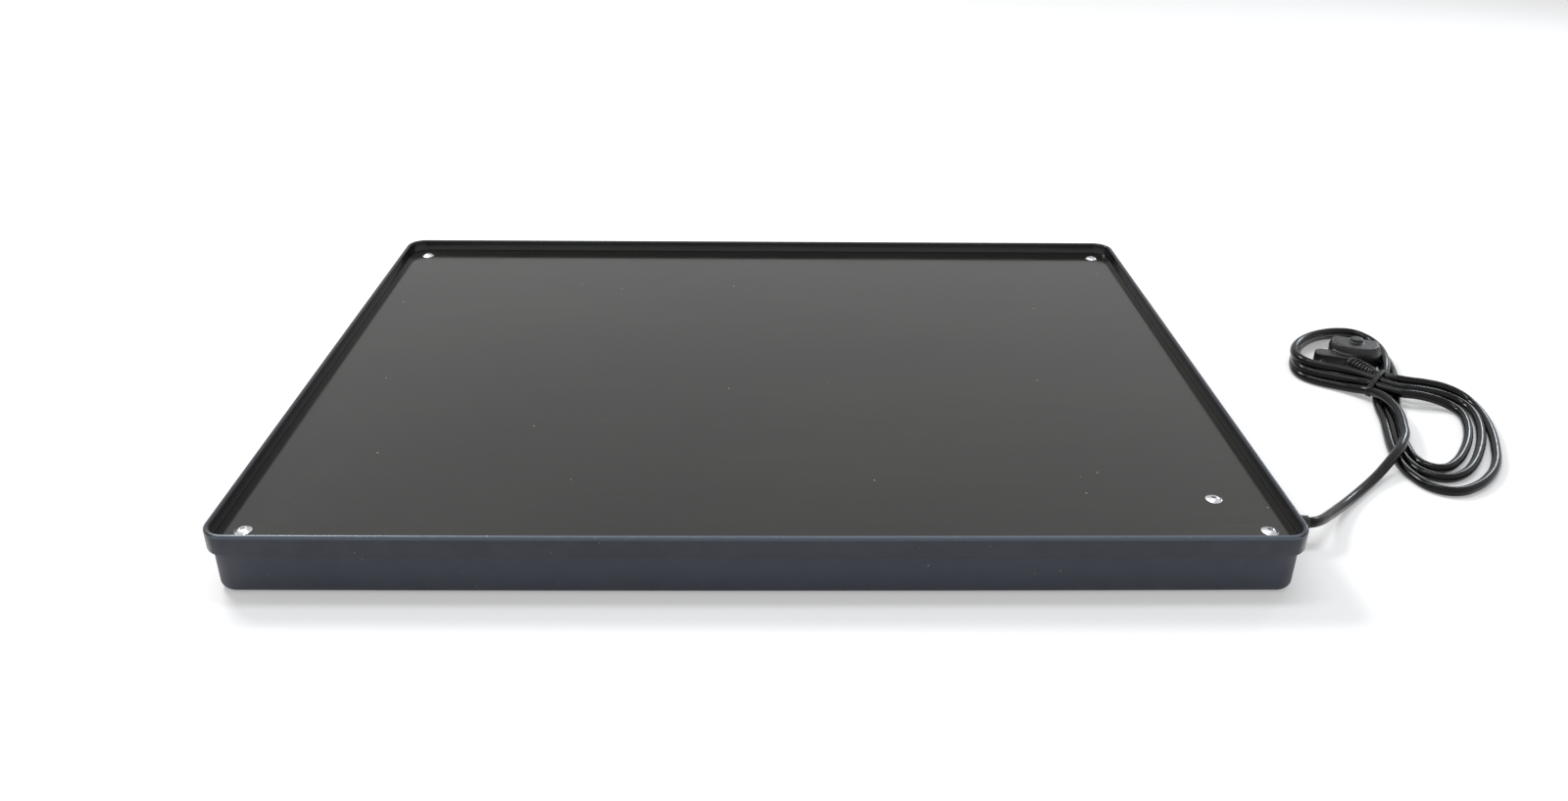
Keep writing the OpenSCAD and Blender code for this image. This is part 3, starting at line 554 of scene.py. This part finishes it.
def makeTie(s):
    def loop(r):
        dots = []
        for cx, cz in s["strands"]:
            for k in range(s["perStrand"]):
                a = 2 * math.pi * k / s["perStrand"]
                dots.append((round(cx + r * math.cos(a), 5), round(cz + r * math.sin(a), 5)))
        return hull(dots)

    turn = math.radians(s["turnDeg"])
    along = Vector((math.cos(turn), math.sin(turn), 0))
    across = Vector((math.cos(turn - math.pi / 2), math.sin(turn - math.pi / 2), 0))
    middle = Vector((s["middle"][0], s["middle"][1], 0))
    w, t = s["width"] / 2, s["thick"]
    # across the band: how far along the bundle, and how far out from it
    half = [(w - 0.25, 0), (w, 0.25), (w, t - 0.3), (w - 0.35, t)]
    section = [(-w, 0.25), (-w + 0.25, 0)] + half + [(-w + 0.35, t), (-w, t - 0.3)]
    loops = [loop(s["strand"] + out) for _, out in section]
    count = s["perLap"]
    verts, faces = [], []
    for (alongBy, _), points in zip(section, loops):
        # the same number of evenly spread points on every loop
        spans = [math.dist(a, b) for a, b in zip(points, points[1:] + points[:1])]
        total, j, walked = sum(spans), 0, 0.0
        for k in range(count):
            want = total * k / count
            while walked + spans[j] < want:
                walked += spans[j]
                j += 1
            a, b = points[j], points[(j + 1) % len(points)]
            f = (want - walked) / spans[j]
            u, z = a[0] + (b[0] - a[0]) * f, a[1] + (b[1] - a[1]) * f
            verts.append((middle + along * alongBy + across * u + Vector((0, 0, z))) * mm)
    rows = len(section)
    for i in range(rows):
        for k in range(count):
            n, m = (k + 1) % count, (i + 1) % rows
            faces.append((i * count + k, i * count + n, m * count + n, m * count + k))
    obj = meshObject("cordTie", verts, faces)
    bm = bmesh.new()
    bm.from_mesh(obj.data)
    bmesh.ops.recalc_face_normals(bm, faces=bm.faces)
    bm.to_mesh(obj.data)
    bm.free()
    smoothByAngle(obj, 50)
    return obj


def sheathFinish(name, dark, light, rough, specular=0.55, wave=0.00012):
    # glossy flexible sheath: faint waviness, dull scuffs and dust
    n = Nodes(name)
    drift = n.ramp(n.noise(60, 4.0, 0.6), 0.35, 0.7)
    dust = n.specks(900, 0.22, 0.05)
    colour = n.mix(drift, dark, light)
    n.set("Base Color", n.mix(n.math("MULTIPLY", dust, 0.6), colour, srgb(150, 148, 142)))
    scuff = n.ramp(n.noise(140, 5.0, 0.65), 0.45, 0.75, rough, rough + 0.16)
    n.set("Roughness", n.math("MAXIMUM", scuff, n.math("MULTIPLY", dust, 0.7)))
    n.set("Specular IOR Level", specular)
    soft = n.bump(n.noise(45, 1.0, 0.5), wave, 0.5)
    n.set("Normal", n.bump(n.noise(1600, 2.0, 0.5), 0.00001, 0.3, soft))
    return n.mat


def plugFinish():
    # moulded plug: fine grain, uneven gloss and dust
    n = Nodes("plugMoulding")
    drift = n.ramp(n.noise(70, 4.0, 0.6), 0.35, 0.7)
    dust = n.specks(1100, 0.25, 0.05)
    colour = n.mix(drift, srgb(22, 22, 23), srgb(32, 32, 34))
    n.set("Base Color", n.mix(n.math("MULTIPLY", dust, 0.5), colour, srgb(160, 158, 150)))
    n.set("Roughness", n.ramp(n.noise(260, 4.0, 0.6), 0.35, 0.7, 0.26, 0.42))
    n.set("Specular IOR Level", 0.55)
    grain = n.bump(n.noise(2600, 2.0, 0.6), 0.00003, 0.5)
    n.set("Normal", n.bump(n.noise(160, 2.0, 0.5), 0.00008, 0.4, grain))
    return n.mat


cordMat = sheathFinish("cordSheath", srgb(7, 7, 8), srgb(14, 13, 14), 0.12, 0.26)
bootMat = sheathFinish("bootRubber", srgb(20, 20, 21), srgb(30, 30, 32), 0.26)
tieMat = sheathFinish("tiePlastic", srgb(8, 8, 9), srgb(14, 14, 16), 0.24, 0.3, 0.00006)
plugMat = plugFinish()
cord.data.materials.append(cordMat)
plugBody = makePlugBody(plug)
plugBody.data.materials.clear()
plugBody.data.materials.append(plugMat)
plugBoot = makeBoot(boot, bootMat)
cordTie = makeTie(tie)
cordTie.data.materials.append(tieMat)
print("plug, boot and tie made")

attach(cord, "root")
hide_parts("power_cord", "cord_hank")
for piece, node, slot in ((plugBody, "plug_body", "plug_pvc"), (plugBoot, "plug_boot", "plug_pvc"),
                          (cordTie, "cord_tie", "tie_plastic")):
    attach(piece, "root")
    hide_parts(node)


def readTray():
    # the tray's own sizes in mm, from its CAD box
    low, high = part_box("base_tray")
    return {"w": (high[0] - low[0]) / mm, "d": (high[1] - low[1]) / mm, "h": (high[2] - low[2]) / mm}


tray = dict(readTray(), wall=3.0, step=3.0, cornerR=14.0, bottomR=5.0, rimR=1.4, bandR=1.2, nookR=0.6,
            floorR=2.5, plateFace=31.0, plateT=1.5, gasketT=0.5, bow=0.9, floorEnd=60)
tray["ledge"] = tray["plateFace"] - tray["plateT"] - tray["gasketT"]
tray["band"] = tray["ledge"] - tray["wall"]


def arcPoints(cx, cz, r, a0, a1, n=5):
    return [(cx + r * math.cos(math.radians(a0 + (a1 - a0) * i / n)),
             cz + r * math.sin(math.radians(a0 + (a1 - a0) * i / n))) for i in range(n + 1)]


def ringPoints(t, inset, z, perCorner=12, perSide=24):
    # one lap of the tray's plan, moved in by inset, with its front side bowed out a touch
    r = max(t["cornerR"] - inset, 0.6)
    hw, hd = t["w"] / 2 - inset, t["d"] / 2 - inset
    lap = []
    corners = ((hw - r, -hd + r, -90), (hw - r, hd - r, 0), (-hw + r, hd - r, 90), (-hw + r, -hd + r, 180))
    for cx, cy, a0 in corners:
        lap += [(cx + r * math.cos(math.radians(a0 + 90 * i / perCorner)),
                 cy + r * math.sin(math.radians(a0 + 90 * i / perCorner))) for i in range(perCorner + 1)]
        x, y = lap[-1]
        nx, ny = {-90: (hw, hd - r), 0: (-hw + r, hd), 90: (-hw, -hd + r), 180: (hw - r, -hd)}[a0]
        lap += [(x + (nx - x) * i / perSide, y + (ny - y) * i / perSide) for i in range(1, perSide)]
    out = []
    for x, y in lap:
        if abs(y) > hd - r - 0.01 and y < 0:
            y -= t["bow"] * max(0.0, 1 - (x / (hw - r)) ** 2)
        out.append(Vector((x, y, z)) * mm)
    return out


def makeTray(t):
    w, s, ledge, band = t["wall"], t["step"], t["ledge"], t["band"]
    rimR, bottomR = t["rimR"], t["bottomR"]
    # one profile, from the floor's inside over the ledge and the rim and down outside to the underside
    profile = [(t["floorEnd"], w), (20, w), (s + w + t["floorR"], w)]
    profile += arcPoints(s + w + t["floorR"], w + t["floorR"], t["floorR"], 270, 180)
    profile += [(s + w, ledge - 0.3), (s + w - 0.3, ledge), (w + 0.3, ledge), (w, ledge + 0.3)]
    profile += arcPoints(w - rimR, t["h"] - rimR, rimR, 0, 90) + arcPoints(rimR, t["h"] - rimR, rimR, 90, 180)
    profile += arcPoints(t["bandR"], band + t["bandR"], t["bandR"], 180, 270)
    profile += arcPoints(s - t["nookR"], band - t["nookR"], t["nookR"], 90, 0, 3)
    profile += arcPoints(s + bottomR, bottomR, bottomR, 180, 270, 7)
    profile += [(20, 0), (t["floorEnd"], 0)]
    tidy = [profile[0]]
    for p in profile[1:]:
        if math.dist(p, tidy[-1]) > 0.02:
            tidy.append(p)
    verts, faces = [], []
    rings = []
    for inset, z in tidy:
        lap = ringPoints(t, inset, z)
        rings.append(range(len(verts), len(verts) + len(lap)))
        verts += lap
    n = len(rings[0])
    for a, b in zip(rings, rings[1:]):
        for k in range(n):
            m = (k + 1) % n
            faces.append((a[k], a[m], b[m], b[k]))
    faces.append(tuple(rings[0]))
    faces.append(tuple(reversed(rings[-1])))
    obj = meshObject("trayShell", verts, faces)
    bm = bmesh.new()
    bm.from_mesh(obj.data)
    bmesh.ops.recalc_face_normals(bm, faces=bm.faces)
    bm.to_mesh(obj.data)
    bm.free()
    return obj


# where the tray's looks change, in mm below the rim (rubs, gloss and the painted highlight's height), above
# the band's lower edge, and in from the front (the painted highlight)
trayLook = {"rimTopFrom": 2.4, "rimTopTo": 0.8, "lowFrom": 0.6, "lowTo": -0.2, "highlightFrom": 3.8, "highlightTo": 1.8}


def trayFinish(t, s):
    # matte grained plastic: a lighter lower wall, a painted highlight along the front rim's top edge, rubs,
    # dust and smudges
    n = Nodes("trayPlastic")
    place = n.add("ShaderNodeSeparateXYZ")
    n.link(n.coords, place.inputs[0])
    drift = n.ramp(n.noise(9, 5.0, 0.6), 0.3, 0.7)
    colour = n.mix(drift, srgb(47, 50, 60), srgb(55, 59, 70))
    rub = n.ramp(n.noise(70, 6.0, 0.7, (1.0, 1.0, 3.0)), 0.62, 0.78)
    topEdge = n.ramp(place.outputs["Z"], (t["h"] - s["rimTopFrom"]) * mm, (t["h"] - s["rimTopTo"]) * mm)
    lowWall = n.ramp(place.outputs["Z"], (t["band"] + s["lowFrom"]) * mm, (t["band"] + s["lowTo"]) * mm)
    colour = n.mix(n.math("MULTIPLY", lowWall, 0.5), colour, srgb(66, 71, 83))
    front = -t["d"] / 2
    # painted highlight: a bluish bright line on the front rim's top edge, standing in for the sky's
    # reflection
    frontHighlightReach = n.ramp(place.outputs["Y"], (front + s["highlightFrom"]) * mm, (front + s["highlightTo"]) * mm)
    paintedFrontHighlight = n.math("MULTIPLY", frontHighlightReach, topEdge)
    colour = n.mix(n.math("MULTIPLY", paintedFrontHighlight, 0.5), colour, srgb(112, 128, 144))
    wear = n.math("MULTIPLY", rub, topEdge)
    colour = n.mix(n.math("MULTIPLY", wear, 0.5), colour, srgb(110, 112, 120))
    dust = n.math("MAXIMUM", n.specks(110, 0.085, 0.1), n.math("MULTIPLY", n.specks(420, 0.16, 0.03), 0.6))
    colour = n.mix(n.math("MULTIPLY", dust, 0.75), colour, srgb(178, 176, 168))
    smudge = n.ramp(n.noise(22, 5.0, 0.65), 0.6, 0.78)
    colour = n.mix(n.math("MULTIPLY", smudge, 0.3), colour, srgb(30, 31, 34))
    n.set("Base Color", colour)
    rough = n.ramp(n.noise(90, 5.0, 0.6), 0.3, 0.7, 0.46, 0.6)
    n.set("Roughness", n.math("SUBTRACT", rough, n.math("MULTIPLY", topEdge, 0.3)))
    n.set("Specular IOR Level", 0.45)
    grain = n.bump(n.noise(1500, 3.0, 0.65), 0.00006, 0.6)
    wave = n.bump(n.noise(14, 2.0, 0.5), 0.0006, 0.5, grain)
    n.set("Normal", wave)
    return n.mat


def rimFinish():
    # the rim's inner faces: glossy black
    n = Nodes("rimGloss")
    drift = n.ramp(n.noise(20, 4.0, 0.6), 0.3, 0.7)
    dust = n.specks(500, 0.18, 0.03)
    colour = n.mix(drift, srgb(14, 14, 16), srgb(26, 27, 30))
    n.set("Base Color", n.mix(n.math("MULTIPLY", dust, 0.6), colour, srgb(150, 148, 140)))
    n.set("Roughness", n.ramp(n.noise(60, 4.0, 0.6), 0.3, 0.7, 0.14, 0.26))
    n.set("Specular IOR Level", 0.5)
    n.set("Normal", n.bump(n.noise(26, 2.0, 0.5), 0.0005, 0.5))
    return n.mat


trayShell = makeTray(tray)
trayShell.data.materials.append(trayFinish(tray, trayLook))
trayShell.data.materials.append(rimFinish())
innerEdge = tray["w"] / 2 * mm - (tray["wall"] - 0.5) * mm
innerRear = tray["d"] / 2 * mm - (tray["wall"] - 0.5) * mm
for f in trayShell.data.polygons:
    c = f.center
    inside = abs(c.x) < innerEdge and -innerRear - tray["bow"] * mm < c.y < innerRear
    if inside and tray["ledge"] * mm < c.z < (tray["h"] - 0.2) * mm:
        f.material_index = 1
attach(trayShell, "root")
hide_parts("base_tray")
print("tray made")


# the heating plate in mm: pressed sheet, its middle a little crowned
plate = {"crown": 1.0, "gap": 0.3, "cells": (90, 70), "cornerR": 11.0, "bowShare": 0.9, "bowReach": 2}


def makePlate(s, t):
    hw, hd = t["w"] / 2 - t["wall"] - s["gap"], t["d"] / 2 - t["wall"] - s["gap"]
    nx, ny = s["cells"]
    r = s["cornerR"]

    def spot(i, j):
        x, y = -hw + 2 * hw * i / nx, -hd + 2 * hd * j / ny
        # pull the grid's corners in to the plate's corner radius
        ex, ey = abs(x) - (hw - r), abs(y) - (hd - r)
        if ex > 0 and ey > 0:
            far = math.hypot(ex, ey)
            reach = max(ex, ey)
            if far > 1e-6:
                x = math.copysign(hw - r + ex * reach / far, x)
                y = math.copysign(hd - r + ey * reach / far, y)
        rise = s["crown"] * (1 - (x / hw) ** 2) * (1 - (y / hd) ** 2)
        return x, y, rise

    top, bottom, faces = [], [], []
    for j in range(ny + 1):
        for i in range(nx + 1):
            x, y, rise = spot(i, j)
            bowEnd = -hd + r + s["bowReach"]
            if y < bowEnd:
                # its front edge follows the tray's bowed front
                y -= t["bow"] * s["bowShare"] * max(0.0, 1 - (x / (hw - r)) ** 2) * min(1.0, (bowEnd - y) / r)
            top.append(Vector((x, y, t["plateFace"] + rise)) * mm)
            bottom.append(Vector((x, y, t["plateFace"] - t["plateT"] + rise * 0.9)) * mm)
    row = nx + 1
    count = len(top)
    for j in range(ny):
        for i in range(nx):
            a, b, c, d = j * row + i, j * row + i + 1, (j + 1) * row + i + 1, (j + 1) * row + i
            faces.append((a, b, c, d))
            faces.append((count + d, count + c, count + b, count + a))
    edge = [i for i in range(nx)] + [nx + j * row for j in range(ny)]
    edge += [ny * row + i for i in range(nx, 0, -1)] + [j * row for j in range(ny, 0, -1)]
    for k, a in enumerate(edge):
        b = edge[(k + 1) % len(edge)]
        faces.append((b, a, count + a, count + b))
    obj = meshObject("plateSheet", top + bottom, faces)
    smoothByAngle(obj, 40)
    return obj


def plateFinish():
    # dark glossy coated metal, with wipe marks, fine scratches, lint and dust
    n = Nodes("plateCoating")
    cloud = n.ramp(n.noise(4.5, 5.0, 0.6), 0.3, 0.7)
    colour = n.mix(cloud, srgb(25, 25, 23), srgb(31, 31, 28))
    wipe = n.ramp(n.noise(8, 5.0, 0.7, (0.35, 1.6, 1.0)), 0.5, 0.75)
    colour = n.mix(n.math("MULTIPLY", wipe, 0.2), colour, srgb(58, 57, 52))
    lint = n.specks(90, 0.06, 0.12)
    dust = n.specks(360, 0.07, 0.08)
    speck = n.math("MAXIMUM", n.math("MULTIPLY", dust, 0.55), lint)
    colour = n.mix(n.math("MULTIPLY", speck, 0.7), colour, srgb(170, 166, 155))
    scratchA = n.ramp(n.noise(14, 2.0, 0.9, (1.0, 40.0, 1.0)), 0.71, 0.73)
    colour = n.mix(n.math("MULTIPLY", scratchA, 0.12), colour, srgb(130, 128, 122))
    n.set("Base Color", colour)
    base = n.ramp(n.noise(16, 5.0, 0.65), 0.3, 0.7, 0.09, 0.17)
    n.set("Roughness", n.math("MAXIMUM", base, n.math("MULTIPLY", speck, 0.7)))
    n.set("Specular IOR Level", 0.6)
    peel = n.bump(n.noise(900, 2.0, 0.5), 0.00003, 0.35)
    n.set("Normal", n.bump(n.noise(5, 2.0, 0.5), 0.0006, 0.5, peel))
    return n.mat


plateSheet = makePlate(plate, tray)
plateSheet.data.materials.append(plateFinish())
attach(plateSheet, "root")
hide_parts("heating_plate")
print("plate made")


# blind rivets in mm, set out by Geometry Nodes
rivet = {"headD": 9.5, "headH": 1.9, "bore": 2.7, "shankD": 4.8, "tailD": 7.2, "tailH": 3.0, "lip": 0.35,
         "cornerGrip": 6.5, "earthGrip": 3.3, "sides": 40}


def crownAt(x, y):
    hw, hd = tray["w"] / 2 - tray["wall"], tray["d"] / 2 - tray["wall"]
    return plate["crown"] * (1 - (x / hw) ** 2) * (1 - (y / hd) ** 2)


def rivetProfile(s, grip):
    headR, h, bore = s["headD"] / 2, s["headH"], s["bore"] / 2
    dome = (headR * headR + h * h) / (2 * h)
    tailR = s["tailD"] / 2
    out = [(bore, -grip - s["tailH"]), (tailR - 0.5, -grip - s["tailH"]), (tailR, -grip - 1),
           (tailR - 0.6, -grip), (s["shankD"] / 2, -grip), (s["shankD"] / 2, 0),
           (headR - 0.15, 0), (headR, 0.2)]
    for i in range(1, 11):
        r = headR - (headR - bore - s["lip"]) * i / 10
        z = h - dome + math.sqrt(dome * dome - r * r)
        out.append((r, max(z, 0.2)))
    top = out[-1][1]
    out += [(bore + s["lip"] * 0.4, top - 0.02), (bore, top - 0.3), (bore, -grip - s["tailH"])]
    return [(r * mm, z * mm) for r, z in out]


def rivetTree(name, source, mat):
    tree = bpy.data.node_groups.new(name, "GeometryNodeTree")
    face = tree.interface
    face.new_socket("Geometry", in_out="INPUT", socket_type="NodeSocketGeometry")
    face.new_socket("Size", in_out="INPUT", socket_type="NodeSocketFloat")
    face.new_socket("Seed", in_out="INPUT", socket_type="NodeSocketInt")
    face.new_socket("Geometry", in_out="OUTPUT", socket_type="NodeSocketGeometry")
    add, link = tree.nodes.new, tree.links.new
    start, end = add("NodeGroupInput"), add("NodeGroupOutput")
    info = add("GeometryNodeObjectInfo")
    info.inputs["Object"].default_value = source
    turn = add("FunctionNodeRandomValue")
    turn.data_type = "FLOAT"
    turn.inputs["Max"].default_value = 2 * math.pi
    link(start.outputs["Seed"], turn.inputs["Seed"])
    spin = add("ShaderNodeCombineXYZ")
    link(turn.outputs["Value"], spin.inputs["Z"])
    place = add("GeometryNodeInstanceOnPoints")
    link(start.outputs["Geometry"], place.inputs["Points"])
    link(info.outputs["Geometry"], place.inputs["Instance"])
    link(spin.outputs[0], place.inputs["Rotation"])
    link(start.outputs["Size"], place.inputs["Scale"])
    real = add("GeometryNodeRealizeInstances")
    link(place.outputs["Instances"], real.inputs["Geometry"])
    finish = add("GeometryNodeSetMaterial")
    finish.inputs["Material"].default_value = mat
    link(real.outputs["Geometry"], finish.inputs["Geometry"])
    link(finish.outputs["Geometry"], end.inputs["Geometry"])
    return tree


def rivetFinish():
    # bright aluminium, a little uneven
    n = Nodes("rivetAluminium")
    drift = n.ramp(n.noise(500, 4.0, 0.6), 0.35, 0.7)
    n.set("Base Color", n.mix(drift, srgb(205, 206, 210), srgb(235, 235, 238)))
    n.set("Metallic", 1.0)
    n.set("Roughness", n.ramp(n.noise(900, 4.0, 0.6), 0.3, 0.7, 0.22, 0.36))
    n.set("Normal", n.bump(n.noise(420, 3.0, 0.6), 0.00002, 0.4))
    return n.mat


def setRivets(name, node, places, grip, mat):
    source = lathe("rivetSource", rivetProfile(rivet, grip), rivet["sides"])
    smoothByAngle(source, 40)
    dots = [Vector((x * mm, y * mm, (tray["plateFace"] + crownAt(x, y)) * mm)) for x, y in places]
    obj = meshObject(name, dots, [])
    mod = obj.modifiers.new("rivets", "NODES")
    mod.node_group = rivetTree(name, source, mat)
    setInputs(mod, {"Size": 1.0, "Seed": 3})
    bakeModifiers(obj)
    bpy.data.objects.remove(source)
    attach(obj, "root")
    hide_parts(node)
    return obj


def middleOf(node):
    low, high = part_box(node)
    return ((low[0] + high[0]) / 2 / mm, (low[1] + high[1]) / 2 / mm)


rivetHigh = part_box("corner_rivets")[1]
cornerX, cornerY = rivetHigh[0] / mm - rivet["headD"] / 2, rivetHigh[1] / mm - rivet["headD"] / 2
rivetMat = rivetFinish()
cornerPlaces = [(sx * cornerX, sy * cornerY) for sx in (-1, 1) for sy in (-1, 1)]
setRivets("cornerRivets", "corner_rivets", cornerPlaces, rivet["cornerGrip"], rivetMat)
setRivets("earthRivet", "earth_rivet", [middleOf("earth_rivet")], rivet["earthGrip"], rivetMat)
print("rivets set")


# finishes of the parts taken over from the frame: name, two colours, roughness, metallic
plainFinishes = {
    "plate_gasket": ("gasketRubber", (18, 18, 18), (28, 28, 28), (0.6, 0.75), 0.0),
    "rivet_mandrels": ("mandrelSteel", (90, 90, 94), (120, 120, 124), (0.3, 0.45), 1.0),
    "rivet_washers": ("washerSteel", (150, 150, 154), (180, 180, 184), (0.3, 0.45), 1.0),
    "earth_ring_terminal": ("tinnedBrass", (185, 182, 170), (205, 202, 190), (0.28, 0.4), 1.0),
    "heating_cable": ("heaterSleeve", (120, 30, 22), (150, 42, 30), (0.4, 0.55), 0.0),
    "heater_foil": ("aluminiumFoil", (200, 202, 206), (225, 226, 230), (0.2, 0.35), 1.0),
    "insulation_board": ("foamBoard", (205, 190, 140), (222, 208, 160), (0.8, 0.95), 0.0),
    "cutout_cup": ("cutoutCup", (180, 180, 186), (205, 205, 210), (0.25, 0.4), 1.0),
    "cutout_body": ("cutoutMoulding", (40, 26, 22), (56, 38, 32), (0.35, 0.5), 0.0),
    "cutout_tabs": ("tabBrass", (195, 165, 100), (215, 186, 120), (0.25, 0.4), 1.0),
    "terminal_block": ("blockNylon", (205, 204, 194), (222, 221, 212), (0.4, 0.55), 0.0),
    "terminal_sleeves": ("sleeveBrass", (190, 155, 85), (212, 178, 105), (0.25, 0.4), 1.0),
    "terminal_screws": ("screwZinc", (160, 161, 166), (190, 191, 196), (0.28, 0.42), 1.0),
    "clamp_screws": ("screwZinc", (160, 161, 166), (190, 191, 196), (0.28, 0.42), 1.0),
    "cord_clamp": ("clampNylon", (36, 36, 38), (50, 50, 53), (0.4, 0.55), 0.0),
    "cord_gland": ("glandRubber", (24, 24, 26), (36, 36, 39), (0.35, 0.5), 0.0),
    "inner_lead": ("innerSheath", (22, 22, 24), (34, 34, 37), (0.3, 0.45), 0.0),
    "core_live": ("coreBrown", (92, 52, 32), (112, 66, 42), (0.35, 0.5), 0.0),
    "core_neutral": ("coreBlue", (38, 84, 168), (52, 100, 186), (0.35, 0.5), 0.0),
    "cutout_lead": ("leadWhite", (196, 196, 190), (214, 214, 208), (0.4, 0.55), 0.0),
    "heater_lead_live": ("leadWhite", (196, 196, 190), (214, 214, 208), (0.4, 0.55), 0.0),
    "heater_lead_neutral": ("leadWhite", (196, 196, 190), (214, 214, 208), (0.4, 0.55), 0.0),
    "plug_pins": ("pinNickel", (190, 188, 178), (214, 212, 202), (0.16, 0.3), 1.0),
    "plug_earth_strips": ("stripNickel", (190, 188, 178), (214, 212, 202), (0.16, 0.3), 1.0),
}


def earthFinish():
    # green and yellow stripes round the earth core
    n = Nodes("coreEarth")
    wave = n.add("ShaderNodeTexWave", bands_direction="DIAGONAL")
    wave.inputs["Scale"].default_value = 60.0
    n.link(n.coords, wave.inputs["Vector"])
    n.set("Base Color", n.mix(n.ramp(wave.outputs["Fac"], 0.45, 0.55), srgb(60, 130, 50), srgb(214, 190, 40)))
    n.set("Roughness", n.ramp(n.noise(300), 0.3, 0.7, 0.35, 0.5))
    return n.mat


made = {}
for node, (name, low, high, rough, metal) in plainFinishes.items():
    if name not in made:
        made[name] = plainFinish(name, srgb(*low), srgb(*high), rough, metal)
    for slotHere in nodes[node].material_slots:
        slotHere.material = made[name]
for slotHere in nodes["core_earth"].material_slots:
    slotHere.material = earthFinish()
print("finishes set")


# floor, backdrop and light: sizes in m, the rest are strengths
stage = {"floor": 12.0, "white": 1.0, "shade": 0.86, "glow": 0.31, "world": 0.42, "shiny": 0.55}


def floorFinish(s):
    # pale matte floor: it shows white to the camera and keeps the shadow
    n = Nodes("floorPaper")
    n.set("Base Color", n.mix(n.noise(40), (s["shade"],) * 3, (s["shade"] + 0.01,) * 3))
    n.set("Roughness", 0.9)
    n.set("Specular IOR Level", 0.1)
    path = n.add("ShaderNodeLightPath")
    seen = n.math("MAXIMUM", path.outputs["Is Camera Ray"], path.outputs["Is Glossy Ray"])
    seen = n.math("MAXIMUM", seen, path.outputs["Is Transmission Ray"])
    glow = n.add("ShaderNodeEmission")
    n.link(n.math("MULTIPLY", seen, s["glow"]), glow.inputs["Strength"])
    both = n.add("ShaderNodeAddShader")
    n.link(n.shader.outputs["BSDF"], both.inputs[0])
    n.link(glow.outputs[0], both.inputs[1])
    n.link(both.outputs[0], n.out.inputs["Surface"])
    return n.mat


def makeStage(s):
    size = s["floor"]
    corners = [(-size, -size, 0), (size, -size, 0), (size, size, 0), (-size, size, 0)]
    floor = meshObject("floor", corners, [(0, 1, 2, 3)])
    floor.data.materials.append(floorFinish(s))


def makeWorld(s):
    world = bpy.data.worlds.new("studio")
    world.use_nodes = True
    tree = world.node_tree
    tree.nodes.clear()
    out = tree.nodes.new("ShaderNodeOutputWorld")
    path = tree.nodes.new("ShaderNodeLightPath")
    soft, white = tree.nodes.new("ShaderNodeBackground"), tree.nodes.new("ShaderNodeBackground")
    soft.inputs["Color"].default_value = (1, 1, 1, 1)
    soft.inputs["Strength"].default_value = s["world"]
    white.inputs["Strength"].default_value = s["white"]
    white.inputs["Color"].default_value = (1, 1, 1, 1)
    either = tree.nodes.new("ShaderNodeMath")
    either.operation = "MAXIMUM"
    tree.links.new(path.outputs["Is Camera Ray"], either.inputs[0])
    tree.links.new(path.outputs["Is Transmission Ray"], either.inputs[1])
    shiny = tree.nodes.new("ShaderNodeMath")
    shiny.operation = "MULTIPLY_ADD"
    tree.links.new(path.outputs["Is Glossy Ray"], shiny.inputs[0])
    shiny.inputs[1].default_value = s["shiny"]
    tree.links.new(either.outputs[0], shiny.inputs[2])
    shiny.use_clamp = True
    mix = tree.nodes.new("ShaderNodeMixShader")
    tree.links.new(shiny.outputs[0], mix.inputs["Fac"])
    tree.links.new(soft.outputs[0], mix.inputs[1])
    tree.links.new(white.outputs[0], mix.inputs[2])
    tree.links.new(mix.outputs[0], out.inputs["Surface"])
    bpy.context.scene.world = world


def addLamp(name, place, aim, size, power, tint=(1, 1, 1)):
    data = bpy.data.lights.new(name, "AREA")
    data.shape = "RECTANGLE"
    data.size, data.size_y = size
    data.energy = power
    data.color = tint
    obj = newObject(name, data)
    way = (Vector(aim) - Vector(place)).normalized()
    obj.matrix_world = Matrix.Translation(place) @ way.to_track_quat("-Z", "Y").to_matrix().to_4x4()


makeStage(stage)
makeWorld(stage)
addLamp("softLeft", (-1.1, 1.0, 1.7), (0.1, 0, 0), (0.7, 0.5), 25, (1.0, 0.99, 0.97))
addLamp("rearWindow", (1.5, 1.3, 0.78), (0.45, 0.0, 0), (0.4, 0.26), 3.6, (0.8, 0.9, 1.0))
addLamp("softTop", (0.0, 0.15, 1.8), (0.0, 0.0, 0), (1.3, 0.3), 9, (0.9, 0.95, 1.0))
bpy.context.scene.view_settings.view_transform = "Standard"
print("stage lit")
